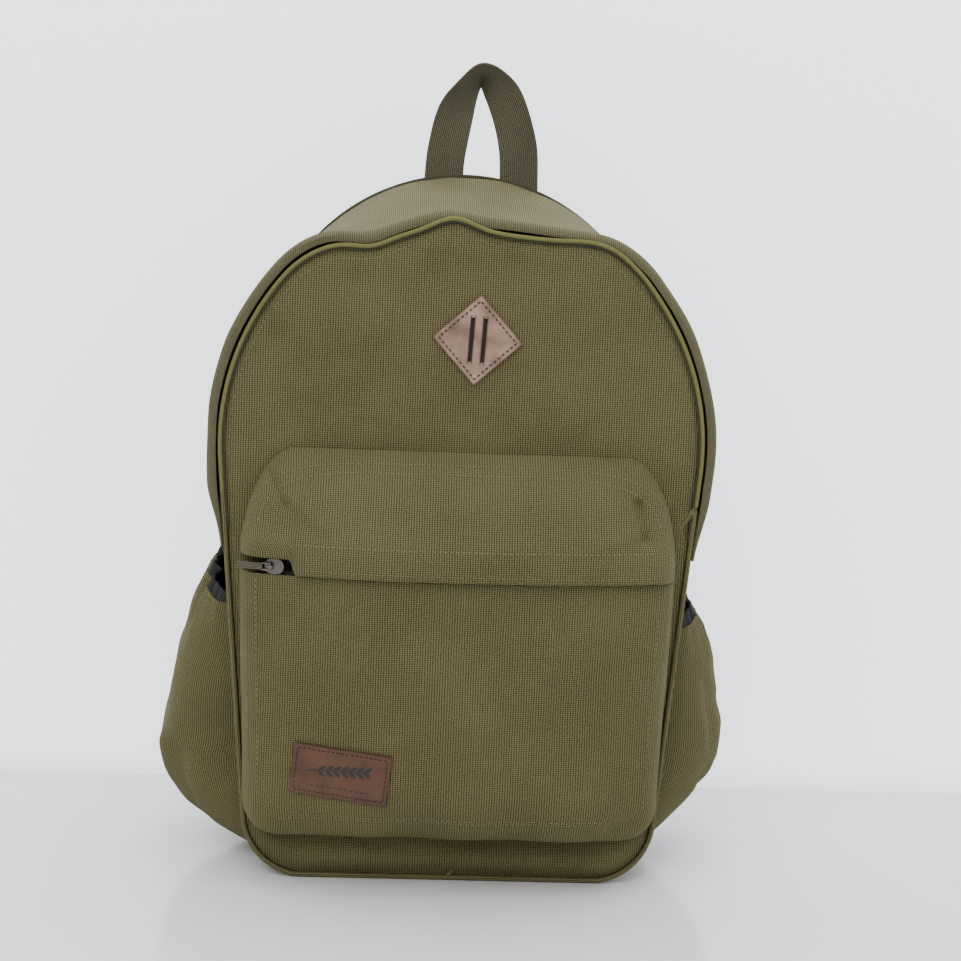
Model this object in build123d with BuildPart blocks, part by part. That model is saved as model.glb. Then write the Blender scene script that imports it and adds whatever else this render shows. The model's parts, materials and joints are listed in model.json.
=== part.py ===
"""School backpack in canvas: an arched main compartment with a zipped lid, a zipped front pocket with a
lifting hood, elastic side pockets, webbing haul handle and two padded shoulder straps.

Millimetres. +Z is up, the front faces -Y, and the origin is on the floor under the bag's base.
"""

import os
from math import asin, cos, degrees, radians, sin

from build123d import *

# ---------------------------------------------------------------- driving dimensions
TAPER = 4.6  # degrees that the sides lean out from the base upward
SIDE_REACH = 123.2  # distance of a tapered side from the origin
CORNER_R = 40.0  # base corners
WAIST_Z = 215.0  # the zip ends here
# An arch: its height, top radius and shoulder radius, and the shoulder's start and end in degrees
# from straight up. A side arc runs on from there to the tapered side.
FRONT_ARCH = (396.0, 318.0, 60.0, 14.1, 50.0)
BACK_ARCH = (430.0, 128.0, 128.0, 20.0, 55.0)

CANVAS = 2.5  # canvas with its lining and seam layers
FRONT_Y = -58.5  # outer face of the front panel
GUSSET_FRONT_Y = -32.0
GUSSET_BACK_Y = 58.0
BACK_Y = 61.0  # outer face of the back panel
BASE_TOP_Z = 40.0  # seam between the base and the side panels
FOLD_Z = 273.0  # where the unzipped lid folds over
FOLD_GAP = 1.0

ZIP_Y = -45.0  # centre of the main zip
TEETH_GAP = 1.4  # slot between the two rows, where a slider's neck runs
TEETH_W = 2.2
TEETH_T = 2.2
TAPE_T = 1.0
TAPE_INSET = 2.5  # depth of the tape under the bag's outline
TEETH_INSET = TAPE_INSET - (TEETH_T - TAPE_T) / 2
SLIDER_L = 12.0
SLIDER_W = 9.0
SLIDER_SPARE = 0.8  # room left past a slider at the end of its arc
PLATE_T = 1.4
PLATE_IN = TEETH_T / 2 + 0.5  # plates' inner faces, from the teeth's middle
PLATE_OUT = PLATE_IN + PLATE_T
NECK_L = 5.0
NECK_W = 1.0
LUG_L = 3.4
LUG_W = 1.6
PIN_R = 0.8
PIN_HEIGHT = 1.75  # above the outer plate
PIN_SHIFT = 2.0  # towards the pull, from the slider's middle
HUB_R = 1.55
PULL_W = 5.0
PULL_L = 21.0
PULL_T = 1.4

POCKET_BOTTOM_Z = 30.0
POCKET_TOP_Z = 265.0
POCKET_HALF = 127.0
POCKET_BASE_HALF = 124.0
POCKET_CORNER_R = 30.0
POCKET_BASE_R = 22.0
POCKET_PARK_X = 108.0  # where the pocket's slider rests, left of the middle
POCKET_R = 420.0  # the pocket's front is a shallow cylinder
POCKET_FRONT_Y = -98.0
POCKET_ZIP_Z = 198.0
POCKET_EDGE_GAP = 4.9  # half the open channel over the pocket zip
POCKET_AXIS_Y = POCKET_FRONT_Y + POCKET_R

DIAMOND_X = 6.0
DIAMOND_Z = 332.0
PATCH_X = -67.0
PATCH_Z = 62.0
PATCH_H = 31.0

SIDE_POCKET_Z = (26.0, 80.0, 140.0, 188.0)
SIDE_POCKET_Y = 12.0
SIDE_POCKET_HALF = 42.0
SIDE_DEPTHS = {"left": (14.0, 52.0, 40.0, 20.0), "right": (12.0, 43.0, 36.0, 19.0)}
ELASTIC_H = 10.0

HANDLE_X = 8.0  # the haul handle is sewn a little off centre
HANDLE_Z = 432.0

STRAP_TOP = Vector(42, 66.5, 384)
STRAP_BOTTOM = Vector(100, 66.5, 50)
STRAP_BOW = 42.0
STRAP_W = 60.0
STRAP_T = 9.0
WEBBING_W = 25.0
WEBBING_T = 2.2
BUCKLE_START = 0.71  # shares of the strap's length
BUCKLE_END = 0.79
TAIL_SHARE = 0.735
TAIL_STANDOFF = 6.5
TAIL_L = 92.0

os.makedirs("parts", exist_ok=True)

# ---------------------------------------------------------------- derived outline geometry
SIDE_NORMAL = Vector(cos(radians(TAPER)), -sin(radians(TAPER)))
BASE_CX = (SIDE_REACH - CORNER_R - CORNER_R * SIDE_NORMAL.Y) / SIDE_NORMAL.X
BOW_SPAN = (STRAP_BOTTOM - STRAP_TOP).length
BOW_R = (BOW_SPAN**2 / 4 + STRAP_BOW**2) / (2 * STRAP_BOW)
BOW_HALF_ANGLE = degrees(asin(BOW_SPAN / 2 / BOW_R))
BOW_CENTRE = (BOW_SPAN / 2, STRAP_BOW - BOW_R)


def save(part, label):
    """Names a finished piece and writes it to its own STEP file."""
    part.label = label
    export_step(part, f"parts/{label}.step")


def side_x(z):
    """Half-width of the tapered sides at height z."""
    return (SIDE_REACH - z * SIDE_NORMAL.Y) / SIDE_NORMAL.X


def arch_arcs(arch):
    """Centre and radius of an arch's top, right shoulder and right side arcs, each tangent to the next."""
    height, top_r, shoulder_r, first, last = arch
    into_shoulder = Vector(sin(radians(first)), cos(radians(first)))
    into_side = Vector(sin(radians(last)), cos(radians(last)))
    top = Vector(0, height - top_r)
    shoulder = top + into_shoulder * (top_r - shoulder_r)
    slant = SIDE_NORMAL.dot(into_side)
    side_r = (SIDE_REACH - SIDE_NORMAL.dot(shoulder) - shoulder_r * slant) / (1 - slant)
    return (top, top_r), (shoulder, shoulder_r), (shoulder + into_side * (shoulder_r - side_r), side_r)


def bag_face(inset, arch):
    """The bag's arched outline as a flat face, moved inward by inset."""
    first, last = arch[3:]
    (top, top_r), (shoulder, shoulder_r), (flank, flank_r) = arch_arcs(arch)
    corner = Vector(BASE_CX, CORNER_R)
    corner_r = CORNER_R - inset
    with BuildSketch() as face:
        with BuildLine():
            Line((-BASE_CX, inset), (BASE_CX, inset))
            for side in (1, -1):
                for centre, radius, start, sweep_angle in (
                    (corner, corner_r, -90, 90 - TAPER),
                    (flank, flank_r - inset, -TAPER, 90 - last + TAPER),
                    (shoulder, shoulder_r - inset, 90 - last, last - first),
                ):
                    CenterArc(
                        (side * centre.X, centre.Y),
                        radius,
                        start if side > 0 else 180 - start,
                        side * sweep_angle,
                    )
                low = corner + SIDE_NORMAL * corner_r
                high = flank + SIDE_NORMAL * (flank_r - inset)
                Line((side * low.X, low.Y), (side * high.X, high.Y))
            CenterArc(top, top_r - inset, 90 - first, 2 * first)
        make_face()
    return face.sketch


def bag_solid(inset, y_front, y_back):
    """Solid inside the bag's outline from y_front to y_back; the gusset tapers from arch to arch."""
    with BuildPart() as solid:
        if y_front < GUSSET_FRONT_Y:
            with BuildSketch(Plane.XZ.offset(-GUSSET_FRONT_Y)):
                add(bag_face(inset, FRONT_ARCH))
            extrude(amount=GUSSET_FRONT_Y - y_front)
        if y_back > GUSSET_FRONT_Y:
            with BuildSketch(Plane.XZ.offset(-GUSSET_FRONT_Y)):
                add(bag_face(inset, FRONT_ARCH))
            with BuildSketch(Plane.XZ.offset(-GUSSET_BACK_Y)):
                add(bag_face(inset, BACK_ARCH))
            loft(ruled=True)
        split(bisect_by=Plane.XZ.offset(-y_back), keep=Keep.TOP)
        split(bisect_by=Plane.XZ.offset(-y_front), keep=Keep.BOTTOM)
    return solid.part


def keep_between(low, high):
    """Cuts the current part to a range of heights; None leaves that end alone."""
    if low is not None:
        split(bisect_by=Plane.XY.offset(low), keep=Keep.TOP)
    if high is not None:
        split(bisect_by=Plane.XY.offset(high), keep=Keep.BOTTOM)


# ---------------------------------------------------------------- main compartment
def band_node(label, y_front, y_back, outer, inner, low, high):
    """One hollow piece that follows the bag's outline between two depths and two insets."""
    with BuildPart() as band:
        add(bag_solid(outer, y_front, y_back))
        add(bag_solid(inner, y_front, y_back), mode=Mode.SUBTRACT)
        keep_between(low, high)
    save(band.part, label)


def sheet_node(label, y_front, y_back, inset, arch, low=None, high=None):
    """One flat panel cut to the bag's outline."""
    with BuildPart() as sheet:
        with BuildSketch(Plane.XZ.offset(-y_back)):
            add(bag_face(inset, arch))
        extrude(amount=y_back - y_front)
        keep_between(low, high)
    save(sheet.part, label)


def make_shell():
    """Gusset, side panels and base, with the rolled hem that shields the zip."""
    side_front = FRONT_Y + 5.0
    band_node("upper_gusset", GUSSET_FRONT_Y, GUSSET_BACK_Y, 0, CANVAS, WAIST_Z, None)
    band_node("base_panel", side_front, GUSSET_BACK_Y, 0, CANVAS, None, BASE_TOP_Z)
    for label, side in (("left", -1), ("right", 1)):
        with BuildPart() as panel:
            add(bag_solid(0, side_front, GUSSET_BACK_Y))
            add(bag_solid(CANVAS, side_front, GUSSET_BACK_Y), mode=Mode.SUBTRACT)
            keep_between(BASE_TOP_Z, WAIST_Z)
            split(bisect_by=Plane.YZ, keep=Keep.TOP if side > 0 else Keep.BOTTOM)
        save(panel.part, f"side_panel_{label}")
    band_node("zip_rain_hem", GUSSET_FRONT_Y - 8.0, GUSSET_FRONT_Y, -5.0, CANVAS, WAIST_Z, None)


def make_back():
    """Outer back panel, the foam behind the wearer's back, and the tub-shaped lining."""
    foam_front = GUSSET_BACK_Y - 7.5
    sheet_node("back_panel", GUSSET_BACK_Y, BACK_Y, 0, BACK_ARCH)
    sheet_node("back_foam", foam_front, GUSSET_BACK_Y - 0.2, CANVAS + 3.5, BACK_ARCH)
    lining_back = foam_front - 0.5
    with BuildPart() as lining:
        add(bag_solid(CANVAS + 0.5, GUSSET_FRONT_Y + 1.0, lining_back))
        add(bag_solid(CANVAS + 1.3, GUSSET_FRONT_Y, lining_back - 0.8), mode=Mode.SUBTRACT)
    save(lining.part, "compartment_lining")


def make_front():
    """Front panel in its fixed and folding halves, each with its lining."""
    lid_z, low_z = FOLD_Z + FOLD_GAP, FOLD_Z - FOLD_GAP
    sheet_node("front_panel_lower", FRONT_Y, FRONT_Y + 3.0, 5.2, FRONT_ARCH, high=low_z)
    sheet_node("front_panel_lid", FRONT_Y, FRONT_Y + 3.0, 5.2, FRONT_ARCH, low=lid_z)
    sheet_node("front_lining_lower", FRONT_Y + 3.2, FRONT_Y + 4.0, 6.0, FRONT_ARCH, high=low_z)
    sheet_node("front_lining_lid", FRONT_Y + 3.2, FRONT_Y + 4.0, 6.0, FRONT_ARCH, low=lid_z)


def make_piping():
    """Cord piping along the front panel's edge, split at the lid's fold."""
    piping_y = FRONT_Y + 2.0
    for label, low, high in (
        ("front_piping_lid", FOLD_Z + FOLD_GAP, None),
        ("front_piping_lower", None, FOLD_Z - FOLD_GAP),
    ):
        with BuildPart() as piping:
            with BuildSketch(Plane.XZ.offset(-(piping_y + 2.4))):
                add(bag_face(0.1, FRONT_ARCH))
                add(bag_face(4.9, FRONT_ARCH), mode=Mode.SUBTRACT)
            extrude(amount=4.8)
            keep_between(low, high)
        save(piping.part, label)


# ---------------------------------------------------------------- main zip
def make_main_zip():
    """Tapes and teeth of both zip halves; the front half is split at the lid's fold."""
    half_gap = TEETH_GAP / 2
    teeth_in, teeth_out = TEETH_INSET + TEETH_T, TEETH_INSET
    back_teeth = ZIP_Y + half_gap + TEETH_W
    front_teeth = ZIP_Y - half_gap - TEETH_W
    tape_in = TAPE_INSET + TAPE_T
    tape_front = FRONT_Y + 4.4
    band_node("main_zip_teeth_back", ZIP_Y + half_gap, back_teeth, teeth_out, teeth_in, WAIST_Z, None)
    band_node(
        "main_zip_tape_back", back_teeth, GUSSET_FRONT_Y, TAPE_INSET, tape_in, WAIST_Z, None
    )
    for label, low, high in (
        ("lid", FOLD_Z + FOLD_GAP, None),
        ("lower", WAIST_Z, FOLD_Z - FOLD_GAP),
    ):
        band_node(
            f"main_zip_teeth_{label}", front_teeth, ZIP_Y - half_gap, teeth_out, teeth_in, low, high
        )
        band_node(f"main_zip_tape_{label}", tape_front, front_teeth, TAPE_INSET, tape_in, low, high)


def track_plane(centre, radius, angle):
    """Plane on the zip's track: x along it, y across it to the front, z outward."""
    a = radians(angle)
    outward = Vector(cos(a), 0, sin(a))
    along = Vector(-sin(a), 0, cos(a))
    return Plane(
        origin=Vector(centre[0], ZIP_Y, centre[1]) + outward * radius, x_dir=along, z_dir=outward
    )


def pin_plane(track, pull_sign):
    """Plane through a slider's pull pin, with the pin along its normal and x along the track."""
    height = PLATE_OUT + PIN_HEIGHT
    origin = track.origin + track.z_dir * height + track.x_dir * pull_sign * PIN_SHIFT
    return Plane(origin=origin, x_dir=track.x_dir, z_dir=track.y_dir)


def slider_and_pull(track, prefix, pull_sign):
    """A zip slider whose plates straddle the teeth at the track's plane, and the pull on its pin."""
    pin = pin_plane(track, pull_sign)
    with BuildPart() as slider:
        with BuildSketch(track.offset(PLATE_IN)):
            SlotOverall(SLIDER_L, SLIDER_W)
        extrude(amount=PLATE_T)
        with BuildSketch(track.offset(-PLATE_IN)):
            SlotOverall(SLIDER_L, SLIDER_W)
        extrude(amount=-PLATE_T)
        with BuildSketch(track.offset(-PLATE_IN)):
            Rectangle(NECK_L, NECK_W)
        extrude(amount=2 * PLATE_IN)
        with BuildSketch(track.offset(PLATE_OUT)):
            with Locations((pull_sign * PIN_SHIFT, 0)):
                Rectangle(LUG_L, LUG_W)
        extrude(amount=PIN_HEIGHT + PIN_R)
        with BuildSketch(pin.offset(-PULL_W / 2)):
            Circle(PIN_R)
        extrude(amount=PULL_W)
    save(slider.part, f"{prefix}_slider")
    with BuildPart() as pull:
        with BuildSketch(pin.offset(-PULL_W / 2)):
            with Locations((pull_sign * (PULL_L - HUB_R) / 2, 0)):
                Rectangle(PULL_L, PULL_T)
            Circle(HUB_R)
            Circle(PIN_R + 0.05, mode=Mode.SUBTRACT)
        extrude(amount=PULL_W)
        with BuildSketch(pin.offset(-LUG_W / 2 - 0.3)):
            Rectangle(2 * LUG_L + 2.0, 6)
        extrude(amount=LUG_W + 0.6, mode=Mode.SUBTRACT)
    save(pull.part, f"{prefix}_pull")


def make_main_sliders():
    """Two sliders that meet where the right shoulder ends: one runs up it, the other down the side."""
    teeth_mid = TEETH_INSET + TEETH_T / 2
    meeting = 90 - FRONT_ARCH[4]
    _, shoulder, flank = arch_arcs(FRONT_ARCH)
    for name, (centre, radius), turn in (("up", shoulder, 1), ("down", flank, -1)):
        half = degrees((SLIDER_L / 2 + SLIDER_SPARE) / radius)
        track = track_plane((centre.X, centre.Y), radius - teeth_mid, meeting + turn * half)
        slider_and_pull(track, f"main_zip_{name}", turn)


# ---------------------------------------------------------------- front pocket
def pocket_block(inset, back_y):
    """Solid pocket form: its outline, its curved side profile and its cylindrical front in common."""
    bottom, top = POCKET_BOTTOM_Z + inset, POCKET_TOP_Z - inset
    front = POCKET_FRONT_Y + inset
    with BuildPart() as block:
        with BuildSketch(Plane.XZ.offset(-back_y)):
            with BuildLine():
                Polyline(
                    (-POCKET_BASE_HALF + inset, bottom),
                    (POCKET_BASE_HALF - inset, bottom),
                    (POCKET_HALF - inset, top),
                    (-POCKET_HALF + inset, top),
                    close=True,
                )
            make_face()
            fillet(vertices().group_by(Axis.Y)[0], radius=POCKET_BASE_R - inset)
            fillet(vertices().group_by(Axis.Y)[-1], radius=POCKET_CORNER_R - inset)
        extrude(amount=60)
        with BuildSketch(Plane.YZ):
            with BuildLine():
                ceiling = Line((back_y + 1, top), (FRONT_Y - 4, top))
                crown = ThreePointArc(ceiling @ 1, (front + 10, top - 19), (front, top - 57))
                face = Line(crown @ 1, (front, bottom + 45))
                belly = ThreePointArc(face @ 1, (front + 4, bottom + 22), (front + 20, bottom))
                floor = Line(belly @ 1, (back_y + 1, bottom))
                Line(floor @ 1, ceiling @ 0)
            make_face()
        extrude(amount=POCKET_HALF + 5, both=True, mode=Mode.INTERSECT)
        with BuildSketch(Plane.XY):
            with Locations((0, POCKET_AXIS_Y)):
                Circle(POCKET_R - inset)
        extrude(amount=POCKET_TOP_Z + 5, mode=Mode.INTERSECT)
    return block.part


def pocket_strip(z_low, z_high, depth_out, depth_in, half_x):
    """Strip that follows the pocket's front, between two depths under its face."""
    with BuildPart() as strip:
        with BuildSketch(Plane.XY.offset(z_low)):
            with Locations((0, POCKET_AXIS_Y)):
                Circle(POCKET_R - depth_out)
                Circle(POCKET_R - depth_in, mode=Mode.SUBTRACT)
            with Locations((0, POCKET_FRONT_Y)):
                Rectangle(2 * half_x, 60, mode=Mode.INTERSECT)
        extrude(amount=z_high - z_low)
    return strip.part


def make_pocket():
    """The pocket's lower pouch and its lifting hood, each a thin shell open to the front panel."""
    back_y = FRONT_Y - 0.3
    for label, low, high in (
        ("pocket_pouch", None, POCKET_ZIP_Z - POCKET_EDGE_GAP),
        ("pocket_hood", POCKET_ZIP_Z + POCKET_EDGE_GAP, None),
    ):
        with BuildPart() as shell:
            add(pocket_block(0, back_y))
            add(pocket_block(CANVAS, back_y + 1), mode=Mode.SUBTRACT)
            keep_between(low, high)
        save(shell.part, label)


def make_pocket_zip():
    """Tapes, teeth, slider and pull of the pocket's zip.

    The hood's half stops short of both corners, where the slider parks and the hood can lift past it.
    """
    half_gap = TEETH_GAP / 2
    tape_in = TAPE_INSET + TAPE_T
    teeth_in = TEETH_INSET + TEETH_T
    hood_x = POCKET_PARK_X - SLIDER_L / 2 - SLIDER_SPARE
    pouch_x = POCKET_HALF - 8.0
    for label, sign, half_x in (("hood", 1, hood_x), ("pouch", -1, pouch_x)):
        teeth = sorted(POCKET_ZIP_Z + sign * d for d in (half_gap, half_gap + TEETH_W))
        tape = sorted(POCKET_ZIP_Z + sign * d for d in (half_gap + TEETH_W, 10.0))
        save(pocket_strip(*teeth, TEETH_INSET, teeth_in, half_x), f"pocket_zip_teeth_{label}")
        save(pocket_strip(*tape, TAPE_INSET, tape_in, half_x), f"pocket_zip_tape_{label}")
    rest = -asin(POCKET_PARK_X / POCKET_R)
    outward = Vector(sin(rest), -cos(rest), 0)
    along = Vector(cos(rest), sin(rest), 0)
    radius = POCKET_R - TEETH_INSET - TEETH_T / 2
    origin = Vector(0, POCKET_AXIS_Y, POCKET_ZIP_Z) + outward * radius
    slider_and_pull(Plane(origin=origin, x_dir=along, z_dir=outward), "pocket_zip", -1)


# ---------------------------------------------------------------- side pockets
def side_pocket_face(side, x0, depth, half, inner_x):
    """D-shaped cross-section of a side pocket whose mouth side is at x0."""
    low_y, high_y = SIDE_POCKET_Y - half, SIDE_POCKET_Y + half
    with BuildSketch() as face:
        with BuildLine():
            ThreePointArc(
                (side * x0, low_y), (side * (x0 + depth), SIDE_POCKET_Y), (side * x0, high_y)
            )
            Polyline(
                (side * x0, high_y),
                (side * (x0 - inner_x), high_y),
                (side * (x0 - inner_x), low_y),
                (side * x0, low_y),
            )
        make_face()
    return face.sketch


def side_pocket_form(side, depths, inset, low):
    """Bulging pocket form; the inner form starts at low and runs on through the mouth."""
    mouth_z = SIDE_POCKET_Z[-1]
    with BuildPart() as form:
        for level, depth in zip(SIDE_POCKET_Z, depths):
            height = max(level, low)
            if inset and level == mouth_z:
                height = mouth_z + 2.0
            with BuildSketch(Plane.XY.offset(height)):
                add(
                    side_pocket_face(
                        side,
                        side_x(height) + 0.3,
                        depth - inset,
                        SIDE_POCKET_HALF - 2 * inset,
                        4.0 * inset + 0.1,
                    )
                )
        loft()
    return form.part


def make_side_pockets():
    """Each pocket is an open-topped pouch with a black elastic edge round its mouth."""
    wall = 2.5
    mouth_z = SIDE_POCKET_Z[-1]
    for label, side in (("left", -1), ("right", 1)):
        depths = SIDE_DEPTHS[label]
        with BuildPart() as pouch:
            add(side_pocket_form(side, depths, 0, 0))
            add(side_pocket_form(side, depths, wall, SIDE_POCKET_Z[0] + 3), mode=Mode.SUBTRACT)
            with BuildSketch(Plane.XZ.offset(-SIDE_POCKET_Y)):
                with BuildLine():
                    Polyline(
                        (0, 0),
                        (side * (side_x(0) + 0.3), 0),
                        (side * (side_x(mouth_z + 5) + 0.3), mouth_z + 5),
                        (0, mouth_z + 5),
                        close=True,
                    )
                make_face()
            extrude(amount=100, both=True, mode=Mode.SUBTRACT)
        save(pouch.part, f"side_pocket_{label}")
        x0 = side_x(mouth_z + ELASTIC_H) + 0.6
        with BuildPart() as elastic:
            for inset, mode in ((0, Mode.ADD), (3.0, Mode.SUBTRACT)):
                with BuildSketch(Plane.XY.offset(mouth_z)):
                    add(
                        side_pocket_face(
                            side, x0, depths[-1] - 1.5 - inset, SIDE_POCKET_HALF - inset, 0.01
                        )
                    )
                extrude(amount=ELASTIC_H, mode=mode)
        save(elastic.part, f"side_elastic_{label}")


# ---------------------------------------------------------------- handle, straps and back hardware
def make_handle():
    """Webbing haul loop and the two bar-tacked ends that it stands on."""
    y_mid = BACK_Y - 1.5
    top_arc, top_r = arch_arcs(BACK_ARCH)[0]
    with BuildPart() as handle:
        with BuildSketch(Plane.XZ.offset(-y_mid)):
            with Locations((HANDLE_X, HANDLE_Z)):
                Ellipse(37, 72)
                Ellipse(12.5, 58, mode=Mode.SUBTRACT)
            with Locations((HANDLE_X, HANDLE_Z + 50)):
                Rectangle(80, 100, mode=Mode.INTERSECT)
        extrude(amount=1.2, both=True)
    save(handle.part, "haul_handle")
    with BuildPart() as ends:
        with BuildSketch(Plane.XZ.offset(-y_mid)):
            with Locations((HANDLE_X - 24.75, HANDLE_Z - 12.5), (HANDLE_X + 24.75, HANDLE_Z - 12.5)):
                Rectangle(24, 20)
            with Locations((0, top_arc.Y)):
                Circle(top_r + 0.05, mode=Mode.SUBTRACT)
        extrude(amount=1.2, both=True)
    save(ends.part, "haul_handle_ends")


def strap_plane(side):
    """Plane of one strap's bow: x from the top anchor to the bottom one, y away from the back."""
    top = Vector(side * STRAP_TOP.X, STRAP_TOP.Y, STRAP_TOP.Z)
    bottom = Vector(side * STRAP_BOTTOM.X, STRAP_BOTTOM.Y, STRAP_BOTTOM.Z)
    run = (bottom - top).normalized()
    return Plane(origin=top, x_dir=run, z_dir=run.cross(Vector(0, 1, 0)))


def strap_sector(plane, start, end, thickness, width):
    """Slice of a strap's bow between two shares of its length."""
    first = 90 + BOW_HALF_ANGLE * (1 - 2 * start)
    swing = -2 * BOW_HALF_ANGLE * (end - start)
    with BuildPart() as sector:
        with BuildSketch(plane):
            with BuildLine():
                outer = CenterArc(BOW_CENTRE, BOW_R + thickness / 2, first, swing)
                inner = CenterArc(BOW_CENTRE, BOW_R - thickness / 2, first, swing)
                Line(outer @ 0, inner @ 0)
                Line(outer @ 1, inner @ 1)
            make_face()
        extrude(amount=width / 2, both=True)
    return sector.part


def make_straps():
    """Padded strap with its sewn top end, adjuster tab, ladder-lock buckle and webbing on each side."""
    for label, side in (("left", -1), ("right", 1)):
        plane = strap_plane(side)
        save(strap_sector(plane, 0.0, 0.08, 3.0, STRAP_W), f"strap_top_end_{label}")
        save(strap_sector(plane, 0.105, 0.66, STRAP_T, STRAP_W), f"shoulder_strap_{label}")
        save(strap_sector(plane, 0.662, 0.705, WEBBING_T, WEBBING_W), f"adjuster_tab_{label}")
        with BuildPart() as buckle:
            add(strap_sector(plane, BUCKLE_START, BUCKLE_END, 5.0, 34.0))
            for start in (BUCKLE_START + 0.012, BUCKLE_START + 0.042):
                add(strap_sector(plane, start, start + 0.018, 20.0, 27.0), mode=Mode.SUBTRACT)
        save(buckle.part, f"ladder_lock_{label}")
        save(
            strap_sector(plane, BUCKLE_END + 0.003, 0.95, WEBBING_T, WEBBING_W),
            f"strap_webbing_{label}",
        )
        make_tail(plane, label)
        make_corner_tab(side, label)


def make_tail(plane, label):
    """Loose webbing end that hangs from the buckle's outer side."""
    hinge = tail_hinge(plane)
    with BuildPart() as tail:
        with BuildSketch(Plane.XY.offset(hinge.Z)):
            with Locations((hinge.X, hinge.Y)):
                Rectangle(WEBBING_W, WEBBING_T)
        extrude(amount=-TAIL_L)
    save(tail.part, f"webbing_tail_{label}")


def tail_hinge(plane):
    """Point where the webbing's loose tail leaves its buckle."""
    angle = radians(90 + BOW_HALF_ANGLE * (1 - 2 * TAIL_SHARE))
    reach = BOW_R + TAIL_STANDOFF
    return plane.from_local_coords(
        Vector(BOW_CENTRE[0] + reach * cos(angle), BOW_CENTRE[1] + reach * sin(angle))
    )


def make_corner_tab(side, label):
    """Triangular canvas tab at the base corner, which holds the webbing's lower end."""
    with BuildPart() as tab:
        with BuildSketch(Plane.XZ.offset(-(BACK_Y + 4.0))):
            with BuildLine():
                Polyline(
                    (side * 86, 66),
                    (side * 100, 70),
                    (side * 127, 58),
                    (side * 119, 22),
                    close=True,
                )
            make_face()
        extrude(amount=3.8)
    save(tab.part, f"corner_tab_{label}")


def make_yoke():
    """Reinforcement strip across the strap tops, sewn to the back panel."""
    with BuildPart() as yoke:
        with BuildSketch(Plane.XZ.offset(-(BACK_Y + 4.0))):
            with Locations((0, STRAP_TOP.Z + 3)):
                RectangleRounded(148, 24, 4)
        extrude(amount=3.8)
    save(yoke.part, "strap_yoke")


# ---------------------------------------------------------------- leather patches
def make_patches():
    """Diamond lash tab with its two slots on the lid, and the name patch on the pocket, left blank."""
    with BuildPart() as diamond:
        with BuildSketch(Plane.XZ.offset(-(FRONT_Y - 0.2))):
            with Locations(Location((DIAMOND_X, DIAMOND_Z), 45)):
                RectangleRounded(39, 39, 1.5)
            with Locations((DIAMOND_X - 3.8, DIAMOND_Z), (DIAMOND_X + 3.8, DIAMOND_Z)):
                SlotOverall(27, 2.4, rotation=90, mode=Mode.SUBTRACT)
        extrude(amount=1.8)
    save(diamond.part, "diamond_patch")
    with BuildPart() as patch:
        with BuildSketch(Plane.XY.offset(PATCH_Z)):
            with Locations((0, POCKET_AXIS_Y)):
                Circle(POCKET_R + 1.7)
                Circle(POCKET_R + 0.2, mode=Mode.SUBTRACT)
            with Locations((PATCH_X, POCKET_FRONT_Y)):
                Rectangle(57, 60, mode=Mode.INTERSECT)
        extrude(amount=PATCH_H)
    save(patch.part, "pocket_patch")


make_shell()
make_back()
make_front()
make_piping()
make_main_zip()
make_main_sliders()
make_pocket()
make_pocket_zip()
make_side_pockets()
make_handle()
make_straps()
make_yoke()
make_patches()
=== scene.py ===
"""Canvas school backpack: cloth, leather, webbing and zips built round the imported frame."""
import json
from math import cos, pi, radians, sin

import bmesh
import bpy
import numpy as np
from mathutils import Matrix, Vector


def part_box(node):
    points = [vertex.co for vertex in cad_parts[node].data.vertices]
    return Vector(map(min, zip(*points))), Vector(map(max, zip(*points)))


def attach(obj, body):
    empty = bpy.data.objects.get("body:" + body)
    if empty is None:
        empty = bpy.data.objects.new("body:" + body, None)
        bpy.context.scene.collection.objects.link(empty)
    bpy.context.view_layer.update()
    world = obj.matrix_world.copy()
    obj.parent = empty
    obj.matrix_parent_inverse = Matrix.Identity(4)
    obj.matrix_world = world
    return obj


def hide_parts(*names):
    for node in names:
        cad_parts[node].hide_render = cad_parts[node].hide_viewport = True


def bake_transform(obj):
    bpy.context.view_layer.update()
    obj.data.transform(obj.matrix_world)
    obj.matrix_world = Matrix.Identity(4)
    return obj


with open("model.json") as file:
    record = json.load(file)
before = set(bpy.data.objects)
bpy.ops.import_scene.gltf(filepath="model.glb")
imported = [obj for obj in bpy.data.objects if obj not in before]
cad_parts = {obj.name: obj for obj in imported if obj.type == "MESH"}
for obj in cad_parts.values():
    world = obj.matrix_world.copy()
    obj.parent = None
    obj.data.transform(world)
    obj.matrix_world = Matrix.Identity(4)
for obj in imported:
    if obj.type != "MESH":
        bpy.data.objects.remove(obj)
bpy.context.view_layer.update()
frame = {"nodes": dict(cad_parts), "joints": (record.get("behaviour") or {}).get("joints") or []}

MM = 0.001
TAPER, SIDE_REACH, CORNER_R = 4.6, 123.2, 40.0
FRONT_ARCH = (396.0, 318.0, 60.0, 14.1, 50.0)
BACK_ARCH = (430.0, 128.0, 128.0, 20.0, 55.0)
FRONT_Y, GUSSET_FRONT_Y, GUSSET_BACK_Y = -58.5, -32.0, 58.0
WAIST_Z, BASE_TOP_Z, FOLD_Z, POCKET_ZIP_Z = 215.0, 40.0, 273.0, 198.0
MIDDLE = np.array([0.0, 0.0, 180.0])
SIDES = (("left", -1), ("right", 1))
FORWARD, BACKWARD = (0.0, -1.0, 0.0), (0.0, 1.0, 0.0)


# ---------------------------------------------------------------- shape functions
def ease(low, high, t):
    t = np.clip((t - low) / (high - low), 0, 1)
    return t * t * (3 - 2 * t)


def hill(t, centre, spread):
    return np.exp(-(((t - centre) / spread) ** 2))


def unit(v):
    return v / np.maximum(np.linalg.norm(v, axis=-1, keepdims=True), 1e-9)


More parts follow.
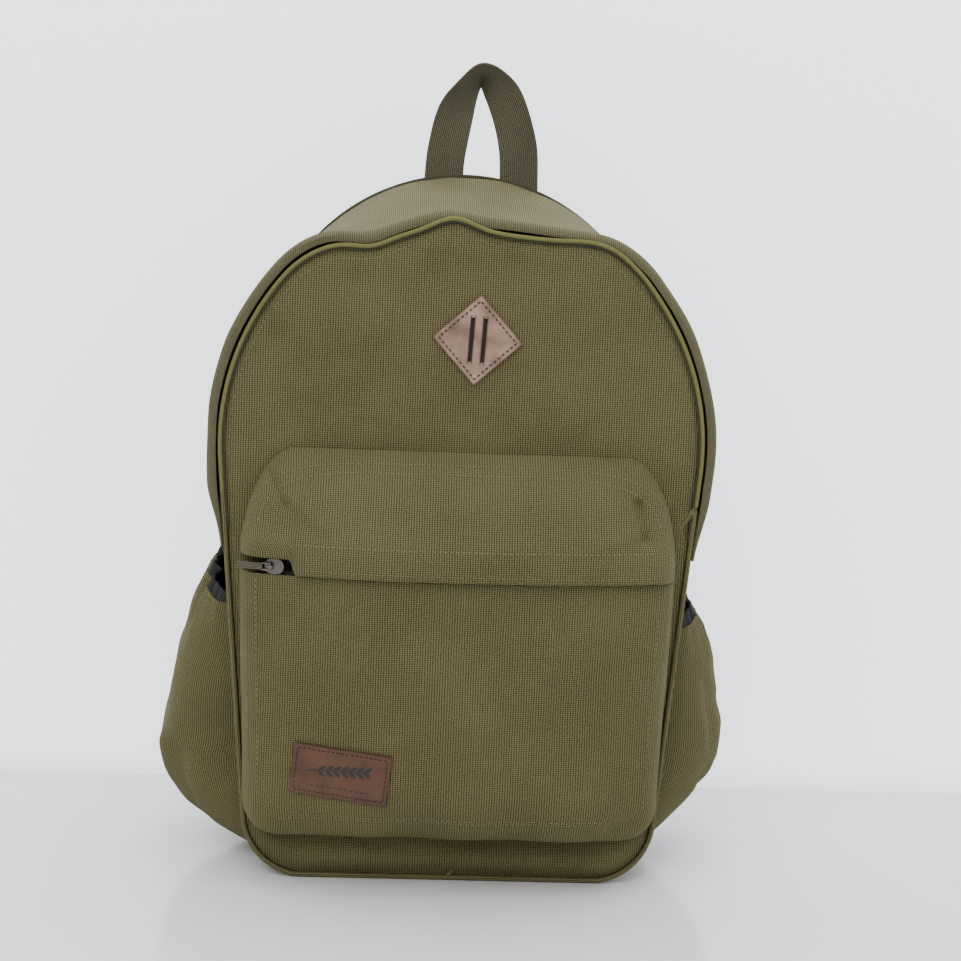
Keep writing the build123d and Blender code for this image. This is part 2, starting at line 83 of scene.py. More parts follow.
def xyz(*parts):
    """Points from coordinates that may be arrays or single numbers."""
    return np.stack(np.broadcast_arrays(*parts), -1).astype(float)


def squared(a, power):
    """Cosine and sine of a, pushed towards a square as power falls."""
    c, d = np.cos(a), np.sin(a)
    return np.sign(c) * np.abs(c) ** power, np.sign(d) * np.abs(d) ** power


def crumple(p, wavelength, seed, octaves=3):
    """Smooth pseudo-random height, about -1 to 1, at points p."""
    rng = np.random.default_rng(seed)
    total = np.zeros(p.shape[:-1])
    for octave in range(octaves):
        for _ in range(5):
            direction = unit(rng.normal(size=3))
            pitch = wavelength * rng.uniform(0.7, 1.4) / 2**octave
            total += np.sin(p @ direction * 2 * pi / pitch + rng.uniform(0, 2 * pi)) * 0.34 / 1.8**octave
    return total


def side_x(z):
    return (SIDE_REACH + z * sin(radians(TAPER))) / cos(radians(TAPER))


def arc_points(centre, radius, first, last, count):
    a = np.radians(np.linspace(first, last, count, endpoint=False))
    return xyz(centre[0] + radius * np.cos(a), centre[1] + radius * np.sin(a))


def outline(arch, inset):
    """Closed loop of (x, z) points round the bag, from the base's middle up the right side."""
    height, top_r, shoulder_r, first, last = arch
    normal = np.array([cos(radians(TAPER)), -sin(radians(TAPER))])
    d1 = np.array([sin(radians(first)), cos(radians(first))])
    d2 = np.array([sin(radians(last)), cos(radians(last))])
    top = np.array([0, height - top_r])
    shoulder = top + d1 * (top_r - shoulder_r)
    slant = normal @ d2
    flank_r = (SIDE_REACH - normal @ shoulder - shoulder_r * slant) / (1 - slant)
    flank = shoulder + d2 * (shoulder_r - flank_r)
    corner = np.array([(SIDE_REACH - CORNER_R - CORNER_R * normal[1]) / normal[0], CORNER_R])
    low = corner + normal * (CORNER_R - inset)
    high = flank + normal * (flank_r - inset)
    base = xyz(np.linspace(0, corner[0], 34, endpoint=False), inset)
    half = np.concatenate([
        base,
        arc_points(corner, CORNER_R - inset, -90, -TAPER, 24),
        low + (high - low) * np.linspace(0, 1, 80, endpoint=False)[:, None],
        arc_points(flank, flank_r - inset, -TAPER, 90 - last, 48),
        arc_points(shoulder, shoulder_r - inset, 90 - last, 90 - first, 18),
        arc_points(top, top_r - inset, 90 - first, 90, 32),
        [[0.0, height - inset]],
    ])
    mirrored = half[::-1][1:] * [-1, 1]
    return np.concatenate([half, mirrored])


def loop_at(y, inset=0.0):
    """The bag's outline at depth y, as (N, 3) points."""
    share = np.clip((y - GUSSET_FRONT_Y) / (GUSSET_BACK_Y - GUSSET_FRONT_Y), 0, 1)
    flat = outline(FRONT_ARCH, inset) * (1 - share) + outline(BACK_ARCH, inset) * share
    return xyz(flat[:, 0], y, flat[:, 1])


def away(loop):
    """Outward directions round a loop, in its plane."""
    run = np.gradient(loop, axis=0)
    if np.allclose(loop[0], loop[-1]):
        run[0] = run[-1] = [1, 0, 0]
    return unit(xyz(run[:, 2], 0, -run[:, 0]))


def lift_front(x, z):
    """How far the soft top edge of the front panel rises or sags."""
    shape = 8.0 * hill(x, -10, 17) - 4.5 * hill(x, -57, 14) + 5.5 * hill(x, 78, 24)
    return shape * ease(320, 392, z)


def lift_flap(x, z, ridge):
    """The rain flap's rise over the arch: ridge is 1 on its crest and 0 at its lip."""
    lip = 3.0 * hill(x, -14, 15) - 6.0 * hill(x, -57, 17) + 2.5 * hill(x, 78, 22)
    crest = 7.5 * hill(x, -10, 20) - 1.5 * hill(x, -57, 14) + 3.0 * hill(x, 75, 22)
    return (crest * ridge + lip * (1 - ridge)) * ease(330, 388, z)


def front_out(x, z):
    """How far the front panel's cloth stands forward of its seam plane."""
    p = xyz(x, 0, z)
    out = 1.6 * crumple(p, 150, 3, 2) + 0.35 * crumple(p, 30, 4, 2)
    out += 2.2 * ease(395, 330, z) * hill(x, 10, 80)
    out -= 2.6 * hill(x, -66, 26) * hill(z, 366, 13)
    out -= 2.0 * hill(x, 34, 24) * hill(z, 374, 11)
    out += 1.8 * hill(x, -14, 22) * hill(z, 382, 14)
    out -= 1.8 * hill(x, 92, 12) * hill(z - 0.5 * x, 302, 22)
    out -= 2.4 * hill(x, -112, 10) * hill(z + 0.6 * x, 262, 16)
    out -= 1.5 * hill(x, -125, 9) * hill(z, 285, 26)
    out += 7.5 * hill(z, 15, 11) * (0.85 + 0.15 * np.sin(x / 13))
    return out


# ---------------------------------------------------------------- materials
def material(name):
    made = bpy.data.materials.new(name)
    made.use_nodes = True
    return made, made.node_tree, made.node_tree.nodes["Principled BSDF"]


def put(node, **values):
    """Sets a node's own sockets; underscores stand for spaces in their names."""
    for name, value in values.items():
        node.inputs[name.replace("_", " ")].default_value = value


def maths(tree, kind, *values):
    """A maths node of numbers and sockets."""
    node = tree.nodes.new("ShaderNodeMath")
    node.operation = kind
    for slot, value in enumerate(values):
        if isinstance(value, (int, float)):
            node.inputs[slot].default_value = value
        else:
            tree.links.new(value, node.inputs[slot])
    return node.outputs[0]


def noise(tree, vector, scale, detail=3.0):
    node = tree.nodes.new("ShaderNodeTexNoise")
    put(node, Scale=scale, Detail=detail)
    tree.links.new(vector, node.inputs["Vector"])
    return node.outputs["Fac"]


def ramp(tree, factor, stops):
    node = tree.nodes.new("ShaderNodeValToRGB")
    while len(node.color_ramp.elements) < len(stops):
        node.color_ramp.elements.new(0.5)
    for element, (place, colour) in zip(node.color_ramp.elements, stops):
        element.position = place
        element.color = (*colour, 1)
    tree.links.new(factor, node.inputs[0])
    return node.outputs[0]


def bump(tree, shader, height, strength, distance):
    node = tree.nodes.new("ShaderNodeBump")
    put(node, Strength=strength, Distance=distance)
    tree.links.new(height, node.inputs["Height"])
    tree.links.new(node.outputs[0], shader.inputs["Normal"])


def uv_parts(tree):
    source = tree.nodes.new("ShaderNodeTexCoord")
    split = tree.nodes.new("ShaderNodeSeparateXYZ")
    tree.links.new(source.outputs["UV"], split.inputs[0])
    return source.outputs["UV"], split.outputs[0], split.outputs[1]


def woven(name, dark, light, pitch_u, pitch_v, strength, sheen=0.25, rib=0.3, rough=0.92):
    """Plain weave: yarn crowns in a checker, ribs along v, slubs and uneven dye; the weave's height also
    lightens the crowns and darkens the gaps as painted light and shade.
    """
    made, tree, shader = material(name)
    uv, u, v = uv_parts(tree)
    wobble = maths(tree, "MULTIPLY_ADD", noise(tree, uv, 160.0), 0.0009, 0.0)
    across = maths(tree, "MULTIPLY", maths(tree, "ADD", u, wobble), pi / pitch_u)
    along = maths(tree, "MULTIPLY", maths(tree, "ADD", v, wobble), pi / pitch_v)
    checker = maths(tree, "MULTIPLY", maths(tree, "SINE", across), maths(tree, "SINE", along))
    crowns = maths(tree, "ABSOLUTE", checker)
    ribs = maths(tree, "ABSOLUTE", maths(tree, "SINE", across))
    height = maths(tree, "ADD", maths(tree, "MULTIPLY", crowns, 1 - rib), maths(tree, "MULTIPLY", ribs, rib))
    patchy = maths(tree, "MULTIPLY_ADD", noise(tree, uv, 900.0, 2.0), 0.55, -0.27)
    broad = maths(tree, "MULTIPLY_ADD", noise(tree, uv, 14.0, 3.0), 0.3, -0.15)
    # Weave height drives the colour too: the gaps between yarns get painted shade and the crowns painted light.
    weave_shade_and_dye = maths(tree, "ADD", maths(tree, "ADD", height, patchy), broad)
    colour = ramp(tree, weave_shade_and_dye, ((0.0, dark), (1.0, light)))
    tree.links.new(colour, shader.inputs["Base Color"])
    put(shader, Roughness=rough, Sheen_Weight=sheen, Sheen_Roughness=0.5, Sheen_Tint=(*light, 1),
        Specular_IOR_Level=0.2)
    bump(tree, shader, height, strength, 0.0004)
    return made


def leather(name, dark, light, mark):
    """Matt leather with fine grain; the mesh's mark attribute darkens pressed artwork."""
    made, tree, shader = material(name)
    uv, _, _ = uv_parts(tree)
    grain = noise(tree, uv, 2600.0, 2.0)
    mottle = noise(tree, uv, 70.0, 4.0)
    tone = maths(tree, "ADD", maths(tree, "MULTIPLY", mottle, 0.75), maths(tree, "MULTIPLY", grain, 0.3))
    base = ramp(tree, tone, ((0.3, dark), (0.78, light)))
    pressed = tree.nodes.new("ShaderNodeAttribute")
    pressed.attribute_name = "mark"
    mix = tree.nodes.new("ShaderNodeMix")
    mix.data_type = "RGBA"
    tree.links.new(pressed.outputs["Fac"], mix.inputs["Factor"])
    tree.links.new(base, mix.inputs["A"])
    mix.inputs["B"].default_value = (*mark, 1)
    tree.links.new(mix.outputs["Result"], shader.inputs["Base Color"])
    put(shader, Roughness=0.55)
    bump(tree, shader, grain, 0.25, 0.0002)
    return made


def solid(name, colour, rough, metal=0.0, grain=400.0):
    """Moulded or plated surface with faint unevenness."""
    made, tree, shader = material(name)
    place = tree.nodes.new("ShaderNodeTexCoord").outputs["Object"]
    tone = noise(tree, place, grain)
    light = tuple(min(1.0, c * 1.35) for c in colour)
    tree.links.new(ramp(tree, tone, ((0.3, colour), (0.7, light))), shader.inputs["Base Color"])
    put(shader, Roughness=rough, Metallic=metal)
    bump(tree, shader, tone, 0.1, 0.0002)
    return made


OLIVE_DARK, OLIVE_LIGHT = (0.012, 0.011, 0.004), (0.186, 0.162, 0.071)
CANVAS = woven("canvas_panel", OLIVE_DARK, OLIVE_LIGHT, 0.0015, 0.00125, 0.7)
GUSSET = woven("canvas_gusset", (0.028, 0.025, 0.012), (0.208, 0.187, 0.1), 0.0013, 0.0011, 0.5)
# Darker copy of the gusset canvas for the rolled hem: painted shade on the flap and its underside.
HEM_SHADED = woven("canvas_hem_shaded", (0.022, 0.02, 0.01), (0.15, 0.136, 0.072), 0.0013, 0.0011, 0.5, rib=0.6)
BASE = woven("canvas_base", (0.03, 0.026, 0.011), (0.2, 0.172, 0.08), 0.0013, 0.0011, 0.5)
PIPING = woven("piping_cloth", (0.07, 0.066, 0.018), (0.21, 0.2, 0.07), 0.0008, 0.0008, 0.3)
BINDING = woven("binding_tape", (0.018, 0.017, 0.01), (0.07, 0.066, 0.036), 0.0007, 0.0015, 0.4)
WEBBING = woven("webbing_twill", (0.014, 0.013, 0.008), (0.165, 0.15, 0.09), 0.00125, 0.0014, 0.6, rib=0.1)
MESH = woven("back_mesh_cloth", (0.02, 0.018, 0.009), (0.12, 0.105, 0.055), 0.0024, 0.0024, 0.9)
LINING = woven("lining_cloth", (0.02, 0.02, 0.016), (0.09, 0.088, 0.075), 0.0006, 0.0006, 0.2, sheen=0.4)
TAPE = woven("zip_tape_cloth", (0.014, 0.013, 0.009), (0.06, 0.055, 0.035), 0.0008, 0.0008, 0.4)
ELASTIC = woven("elastic_rib", (0.004, 0.004, 0.004), (0.035, 0.034, 0.036), 0.0012, 0.0018, 0.9, rib=0.8)
THREAD = woven("sewing_thread", (0.07, 0.062, 0.034), (0.24, 0.212, 0.125), 0.0004, 0.0004, 0.3)
# Dark thread colour, also used for the painted shade sheet under the diamond's slots.
DARK_THREAD_AND_SLOT_SHADE = woven("dark_thread_and_slot_shade", (0.008, 0.007, 0.006), (0.05, 0.04, 0.03), 0.0004, 0.0004, 0.3)
PULL = woven("pull_tape", (0.03, 0.025, 0.016), (0.16, 0.135, 0.095), 0.0009, 0.0009, 0.5)
TEETH = solid("nylon_coil", (0.02, 0.018, 0.013), 0.4)
METAL = solid("dark_zinc", (0.13, 0.12, 0.10), 0.38, metal=1.0)
PLASTIC = solid("moulded_black", (0.012, 0.012, 0.012), 0.5, grain=900.0)
DIAMOND_HIDE = leather("diamond_hide", (0.085, 0.044, 0.027), (0.41, 0.265, 0.19), (0.045, 0.022, 0.014))
LABEL_HIDE = leather("label_hide", (0.04, 0.014, 0.005), (0.118, 0.042, 0.016), (0.01, 0.007, 0.006))


# ---------------------------------------------------------------- mesh building
def piece(name, points, faces, uv, cloth, body=None, bend=None, cad=(), slot=None, marks=None):
    """One mesh object from millimetre points, tied to a body; bend only bakes its transform in, and its bodies
    and points are not used.
    """
    mesh = bpy.data.meshes.new(name)
    mesh.from_pydata((np.asarray(points) * MM).tolist(), [], faces)
    layer = mesh.uv_layers.new(name="UVMap")
    corners = np.zeros(len(mesh.loops), dtype=np.int32)
    mesh.loops.foreach_get("vertex_index", corners)
    layer.data.foreach_set("uv", np.asarray(uv)[corners].astype(np.float32).ravel())
    if marks is not None:
        mesh.attributes.new("mark", "FLOAT", "POINT").data.foreach_set("value", marks.astype(np.float32))
    tidy = bmesh.new()
    tidy.from_mesh(mesh)
    bmesh.ops.remove_doubles(tidy, verts=tidy.verts, dist=2e-6)
    bmesh.ops.recalc_face_normals(tidy, faces=tidy.faces)
    tidy.to_mesh(mesh)
    tidy.free()
    mesh.shade_smooth()
    mesh.set_sharp_from_angle(angle=radians(58))
    mesh.materials.append(cloth)
    made = bpy.data.objects.new(name, mesh)
    bpy.context.scene.collection.objects.link(made)
    if body:
        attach(made, body)
    if bend:
        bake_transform(made)
    if cad:
        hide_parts(*cad)
    return made


def cells(rows, cols):
    r, c = np.meshgrid(np.arange(rows - 1), np.arange(cols - 1), indexing="ij")
    first = (r * cols + c).ravel()
    return np.stack([first, first + 1, first + cols + 1, first + cols], -1)


def skin(grid, thick, core=MIDDLE, keep=None):
    """Closed cloth: a grid of points, a second skin thick behind it, and rims on its open edges."""
    rows, cols = grid.shape[:2]
    flat = grid.reshape(-1, 3)
    normal = unit(np.cross(np.gradient(grid, axis=1), np.gradient(grid, axis=0)))
    if np.ptp(grid[-1], axis=0).max() < 0.01:
        normal[-1] = unit(normal[-2].mean(axis=0))
    normal = normal.reshape(-1, 3)
    if np.mean(np.sum(normal * (flat - core), -1)) < 0:
        normal = -normal
    behind = flat - normal * np.broadcast_to(np.asarray(thick, float), grid.shape[:2]).reshape(-1, 1)
    quads = cells(rows, cols)
    if keep is not None:
        quads = quads[keep.ravel()]
    _, same = np.unique(np.round(flat, 3), axis=0, return_inverse=True)
    same = same.reshape(-1)
    edges = np.concatenate([quads[:, [i, (i + 1) % 4]] for i in range(4)])
    total = len(flat)
    code = same[edges[:, 0]] * total + same[edges[:, 1]]
    back_code = same[edges[:, 1]] * total + same[edges[:, 0]]
    rim = edges[~np.isin(back_code, code) & (code != back_code)]
    faces = np.concatenate([
        quads,
        quads[:, ::-1] + total,
        np.stack([rim[:, 1], rim[:, 0], rim[:, 0] + total, rim[:, 1] + total], -1),
    ])
    return np.concatenate([flat, behind]), faces.tolist()


def cloth(name, grid, thick, colour, core=MIDDLE, flat=False, keep=None, marks=None, **ties):
    """A sheet of cloth; flat takes its weave straight from the front view."""
    points, faces = skin(grid, thick, core, keep)
    uv = grid[:, :, [0, 2]] * MM if flat else arc_uv(grid)
    both = np.concatenate([uv.reshape(-1, 2)] * 2)
    if marks is not None:
        marks = np.concatenate([marks.ravel()] * 2)
    return piece(name, points, faces, both, colour, marks=marks, **ties)


def arc_uv(grid):
    """Lengths along columns and rows, in metres."""
    across = np.linalg.norm(np.diff(grid, axis=1), axis=-1)
    along = np.linalg.norm(np.diff(grid, axis=0), axis=-1)
    u = np.pad(np.cumsum(across, axis=1), ((0, 0), (1, 0)))
    v = np.pad(np.cumsum(along, axis=0), ((1, 0), (0, 0)))
    u = u - u[:, u.shape[1] // 2][:, None]
    return xyz(u, v) * MM


def sweep(path, side, half_w, half_t, power=1.0, around=16, caps=True):
    """Closed bar of superelliptic section that follows a path; side is the width direction."""
    path = np.asarray(path, float)
    run = unit(np.gradient(path, axis=0))
    side = unit(side - run * np.sum(side * run, -1, keepdims=True))
    up = np.cross(run, side)
    a = np.linspace(0, 2 * pi, around + 1)
    wide, deep = squared(a, power)
    half_w = np.broadcast_to(np.asarray(half_w, float), len(path))[:, None, None]
    half_t = np.broadcast_to(np.asarray(half_t, float), len(path))[:, None, None]
    grid = path[:, None] + side[:, None] * wide[None, :, None] * half_w
    grid = grid + up[:, None] * deep[None, :, None] * half_t
    if caps:
        grid = np.concatenate([np.repeat(path[:1, None], around + 1, 1), grid,
                               np.repeat(path[-1:, None], around + 1, 1)])
    return grid


def bar(name, grid, colour, **ties):
    """A swept bar as one closed mesh."""
    rows, cols = grid.shape[:2]
    faces = cells(rows, cols).tolist()
    return piece(name, grid.reshape(-1, 3), faces, arc_uv(grid).reshape(-1, 2), colour, **ties)


def lengths(path):
    """Distance along a path at each of its points."""
    return np.concatenate([[0], np.cumsum(np.linalg.norm(np.diff(path, axis=0), axis=-1))])


def follow(t, s, values):
    return np.stack([np.interp(t, s, column) for column in values.T], -1)


def resample(path, count):
    path = np.asarray(path, float)
    s = lengths(path)
    return follow(np.linspace(0, s[-1], count), s, path)


BEAD_T = np.array([-1.0] + [-0.62] * 5 + [0.62] * 5 + [1.0])
BEAD_A = np.array([0.0] + [i * 2 * pi / 5 for i in range(5)] * 2 + [0.0])
BEAD_R = np.array([0.0] + [1.0] * 10 + [0.0])
BEAD_FACES = [[0, 1 + (i + 1) % 5, 1 + i] for i in range(5)]
BEAD_FACES += [[1 + i, 1 + (i + 1) % 5, 6 + (i + 1) % 5, 6 + i] for i in range(5)]
BEAD_FACES += [[11, 6 + i, 6 + (i + 1) % 5] for i in range(5)]


def beads(centres, run, up, half_l, half_w, half_h):
    """Small rounded rods at the given centres, as points and faces."""
    run, up = unit(np.broadcast_to(run, centres.shape)), unit(up)
    side = np.cross(run, up)
    offset = run[:, None] * (BEAD_T * half_l)[None, :, None]
    offset = offset + side[:, None] * (BEAD_R * np.cos(BEAD_A) * half_w)[None, :, None]
    offset = offset + up[:, None] * (BEAD_R * np.sin(BEAD_A) * half_h)[None, :, None]
    points = (centres[:, None] + offset).reshape(-1, 3)
    faces = [[i + 12 * k for i in face] for k in range(len(centres)) for face in BEAD_FACES]
    return points, faces


COIL = (1.08, 0.5, 1.05)


class Sewing:
    """Collects the stitches that move together, then makes one mesh of them."""

    def __init__(self, name, colour, **ties):
        self.name, self.colour, self.ties = name, colour, ties
        self.points, self.faces, self.count = [], [], 0

    def add(self, points, faces):
        self.points.append(points)
        self.faces.extend([[i + self.count for i in face] for face in faces])
        self.count += len(points)

    def seam(self, path, normals, stitch=2.3, gap=1.1, radius=0.34):
        path, normals = np.asarray(path, float), unit(np.broadcast_to(normals, np.shape(path)))
        s = lengths(path)
        count = max(2, int(s[-1] / (stitch + gap)))
        t = (np.arange(count) + 0.5) * s[-1] / count
        up = unit(follow(t, s, normals))
        run = follow(t + 0.5, s, path) - follow(t - 0.5, s, path)
        self.add(*beads(follow(t, s, path) + up * radius * 0.5, run, up, stitch / 2, radius, radius))

    def make(self):
        points = np.concatenate(self.points)
        return piece(self.name, points, self.faces, points[:, [0, 2]] * MM, self.colour, **self.ties)


FOLD_BEND = ("bag", "lid", (0, FRONT_Y, FOLD_Z - 9), (0, FRONT_Y, FOLD_Z + 11))
# ---------------------------------------------------------------- main compartment
Z_ROUND = loop_at(GUSSET_FRONT_Y)[:, 2]
X_ROUND = loop_at(GUSSET_FRONT_Y)[:, 0]
UPPER = np.flatnonzero(Z_ROUND >= WAIST_Z - 1)
RIGHT = np.flatnonzero((Z_ROUND >= BASE_TOP_Z - 3) & (Z_ROUND <= WAIST_Z + 2) & (X_ROUND > 0))
LEFT = np.flatnonzero((Z_ROUND >= BASE_TOP_Z - 3) & (Z_ROUND <= WAIST_Z + 2) & (X_ROUND < 0))
FLOOR = np.concatenate([np.arange(LEFT[-1], len(Z_ROUND) - 1), np.arange(0, RIGHT[0] + 1)])


def band(rows, pick, fold=0.9):
    """Rows of the bag's skin: each is a depth and a height over the outline, softly crumpled."""
    out_rows = []
    for y, out in rows:
        loop = loop_at(y)
        normal = away(loop)
        wave = fold * crumple(loop, 130, 11, 2) + 0.3 * fold * crumple(loop, 32, 12, 2)
        wave = wave * ease(0, 25, loop[:, 2])
        out_rows.append((loop + normal * (out + wave)[:, None])[pick])
    return np.stack(out_rows)


def make_walls():
    """Top gusset, side panels and base, sewn edge to edge."""
    depths = np.linspace(-31, 59, 40)
    sag = -2.2 * np.sin(pi * (depths + 31) / 90)
    grid = band(list(zip(depths, sag)), UPPER)
    cloth("gusset", grid, 2.0, GUSSET, body="bag", cad=("upper_gusset",), slot="gusset_canvas")
    depths = np.linspace(-56, 59, 50)
    puff = 1.2 * np.sin(pi * (depths + 56) / 115)
    for label, pick in (("right", RIGHT), ("left", LEFT)):
        grid = band(list(zip(depths, puff)), pick)
        cloth(f"side_{label}", grid, 2.0, CANVAS, body="bag",
              cad=(f"side_panel_{label}",), slot="panel_canvas")
    grid = band(list(zip(depths, puff * 0.4)), FLOOR)
    grid[:, :, 2] = np.maximum(grid[:, :, 2], 0.15)
    cloth("base", grid, 2.0, BASE, body="bag", cad=("base_panel",), slot="base_canvas")


def flap_profile(loop, y, out, ridge):
    """A row of the rain flap: it fades into the sides at both ends."""
    fade = 0.3 + 0.7 * ease(204, 244, loop[:, 2])
    wave = 0.5 * crumple(loop, 70, 21, 2)
    normal = away(loop)
    row = loop + normal * ((out + wave * min(1, out / 3)) * fade)[:, None]
    row[:, 2] += lift_flap(loop[:, 0], loop[:, 2], ridge) * ease(-29, -38, y)
    row[:, 1] = y - 1.2 * hill(loop[:, 0], -85, 26) * (out > 4)
    return row


def make_flap():
    """Rolled edge of the gusset that hangs over the main zip."""
    profile = (
        (-27.0, -1.6, 0.5, 1.0), (-29.5, -0.2, 0.6, 1.2), (-33.0, 1.6, 0.9, 1.2), (-37.0, 3.0, 1.0, 1.2),
        (-40.0, 4.2, 1.0, 1.2), (-43.0, 4.9, 0.9, 1.2), (-45.3, 5.1, 0.6, 1.2), (-46.3, 4.9, 0.5, 1.1),
        (-47.2, 6.0, 0.45, 2.0), (-48.6, 7.2, 0.4, 3.2), (-50.8, 7.7, 0.3, 4.4), (-53.2, 7.6, 0.2, 5.0),
        (-55.6, 6.8, 0.1, 4.8), (-57.3, 5.2, 0.05, 3.6), (-57.9, 3.2, 0.0, 2.0), (-57.2, 1.6, 0.0, 1.2),
    )
    pick = np.flatnonzero(Z_ROUND >= 203)
    grid = np.stack([flap_profile(loop_at(y), y, out, ridge)[pick] for y, out, ridge, _ in profile])
    thick = np.repeat(np.array([p[3] for p in profile])[:, None], len(pick), 1)
    # The flap's cloth is the gusset canvas painted darker as shade.
    cloth("rain_flap", grid, thick, HEM_SHADED, core=np.array([0, -20.0, 180]), body="bag",
          cad=("zip_rain_hem",), slot="hem_canvas")
    sewing = Sewing("flap_stitches", THREAD, body="bag")
    sewing.seam(grid[7], away(grid[7]), radius=0.3)
    sewing.make()


def radial(loop, centre, rings):
    """Grid of points from a loop in to its middle, with each point's distance from the edge."""
    s = np.linspace(1, 0, rings)[:, None, None]
    grid = centre + (loop[None] - centre) * s
    reach = np.linalg.norm(loop - centre, axis=-1)[None] * (1 - s[:, :, 0])
    return grid, reach


def front_grid(inset, rings, behind):
    loop = loop_at(FRONT_Y, inset)
    grid, reach = radial(loop, np.array([0, FRONT_Y, 150.0]), rings)
    x, z = grid[:, :, 0], grid[:, :, 2]
    out = front_out(x, z) * (1 - np.exp(-((reach / 9) ** 2))) - 3.0 * np.exp(-((reach / 5) ** 2))
    grid[:, :, 1] = FRONT_Y - out + behind
    grid[:, :, 2] = z + lift_front(x, z)
    return grid


def make_front():
    """Front panel and its lining, each one cloth, with piping round it."""
    grid = front_grid(3.2, 86, 0.0)
    cloth("front_panel", grid, 2.0, CANVAS, flat=True, bend=FOLD_BEND,
          cad=("front_panel_lid", "front_panel_lower"), slot="panel_canvas")
    grid = front_grid(6.0, 40, 2.9)
    cloth("front_lining", grid, 0.6, LINING, flat=True, bend=FOLD_BEND,
          cad=("front_lining_lid", "front_lining_lower"), slot="lining")
    loop = loop_at(FRONT_Y + 0.9, 1.3)
    loop[:, 2] += lift_front(loop[:, 0], loop[:, 2])
    arch = loop[np.flatnonzero(loop[:, 2] > 236)]
    bar("front_piping", sweep(arch, away(arch), 1.25, 1.25, around=12), PIPING, bend=FOLD_BEND,
        cad=("front_piping_lid", "front_piping_lower"), slot="piping")
    low = np.concatenate([loop[np.flatnonzero((loop[:, 2] < 237) & (loop[:, 0] < 0))][:-1],
                          loop[np.flatnonzero((loop[:, 2] < 237) & (loop[:, 0] >= 0))]])
    low[:, 2] = np.maximum(low[:, 2], 1.8)
    low[:, 1] += 1.2
    bar("front_seam_cord", sweep(low, away(low), 1.5, 1.5, around=12), BASE, body="bag", slot="piping")
    sewing = Sewing("front_edge_stitches", THREAD, bend=FOLD_BEND)
    row = front_grid(3.2, 86, 0.0)[2]
    row = row[row[:, 2] > 30]
    sewing.seam(row, FORWARD, radius=0.24)
    sewing.make()


def make_main_zip():
    """Tapes and nylon coils: a front half, and a back half that stays on the gusset."""
    front = band([(y, -2.7) for y in np.linspace(-57.6, -48.2, 8)], UPPER, 0.0)
    front[:, :, 2] += lift_front(front[:, :, 0], front[:, :, 2]) * ease(-49, -57, front[:, :, 1])
    cloth("main_zip_tape_front", front, 0.9, TAPE, bend=FOLD_BEND,
          cad=("main_zip_tape_lid", "main_zip_tape_lower"), slot="zip_tape")
    back = band([(y, -2.7) for y in np.linspace(-41.8, -30.5, 7)], UPPER, 0.0)
    cloth("main_zip_tape_rear", back, 0.9, TAPE, body="bag", cad=("main_zip_tape_back",),
          slot="zip_tape")
    for name, y, ties in (
        ("main_zip_coil_front", -46.8,
         {"bend": FOLD_BEND, "cad": ("main_zip_teeth_lid", "main_zip_teeth_lower")}),
        ("main_zip_coil_rear", -43.2, {"body": "bag", "cad": ("main_zip_teeth_back",)}),
    ):
        loop = band([(y, -3.0)], UPPER, 0.0)[0]
        loop = resample(loop, int(lengths(loop)[-1] / 1.5))
        row = Sewing(name, TEETH, slot="zip_teeth", **ties)
        row.add(*beads(loop, BACKWARD, away(loop), *COIL))
        row.make()


def make_inside():
    """Tub-shaped lining of the main compartment."""
    rows = [loop_at(y, 3.4) for y in np.linspace(-31.5, 46, 16)]
    rim = loop_at(47.5, 4.4)
    centre = np.array([0, 47.8, 200.0])
    rows += [centre + (rim - centre) * s for s in np.linspace(1, 0, 26)]
    grid = np.stack(rows)
    drape = np.minimum(0, 0.8 * crumple(grid, 60, 31) - 0.8)
    grid[:16] += np.stack([away(r) for r in grid[:16]]) * drape[:16, :, None]
    grid[16:, :, 1] += drape[16:]
    cloth("lining", grid, 0.6, LINING, core=np.array([0, 0.0, 200]), body="bag",
          cad=("compartment_lining",), slot="lining")


def make_back():
    """Padded back panel with stitched channels, and the binding round its edge."""
    grid, reach = radial(loop_at(60, 1.5), np.array([0, 60, 200.0]), 84)
    x, z = grid[:, :, 0], grid[:, :, 2]
    pad = ease(10, 20, reach) * ease(76, 92, z) * (1 - ease(362, 372, z))
    channel = hill(np.abs(x), 36, 3.2)
    for level in (150, 220, 290):
        channel = np.maximum(channel, hill(z + 0.25 * np.abs(x), level + 9, 3.2) * ease(36, 30, np.abs(x)))
    grid[:, :, 1] = 60.6 + 0.3 * crumple(grid, 60, 41, 2) + 3.6 * pad * (1 - 0.85 * channel)
    grid[:, :, 1] -= 1.0 * np.exp(-((reach / 4) ** 2))
    back = cloth("back_pad", grid, 2.6, MESH, flat=True, body="bag",
                 cad=("back_panel", "back_foam"), slot="back_mesh")
    loop = loop_at(60.4, 0.6)
    loop[:, 2] = np.maximum(loop[:, 2], 2.4)
    grid = sweep(loop, away(loop), 1.7, 2.6, power=0.8, around=12, caps=False)
    bar("back_binding", grid, BINDING, body="bag", slot="webbing")
    sewing = Sewing("back_stitches", THREAD, body="bag")
    heights = np.linspace(96, 358, 80)
    for side in (-1, 1):
        sewing.seam(xyz(side * 36, 61.4, heights), BACKWARD)
    sewing.make()


# ---------------------------------------------------------------- front pocket
POCKET_BACK = FRONT_Y - 0.3
POCKET_DEPTH, POCKET_FACE_R, POCKET_AXIS_Y, POCKET_ROLL = 39.2, 420.0, 322.0, 15.0
ZIP_INSET, ZIP_PITCH = 2.7, 1.5


def pocket_face(x, inside):
    """Depth of the pocket's arched face, rounded off within a roll's width of its edge."""
    roll = np.clip(1 - (1 - inside) ** 2.6, 0, 1) ** 0.4
    return POCKET_DEPTH - (POCKET_FACE_R - np.sqrt(POCKET_FACE_R**2 - x**2)), roll


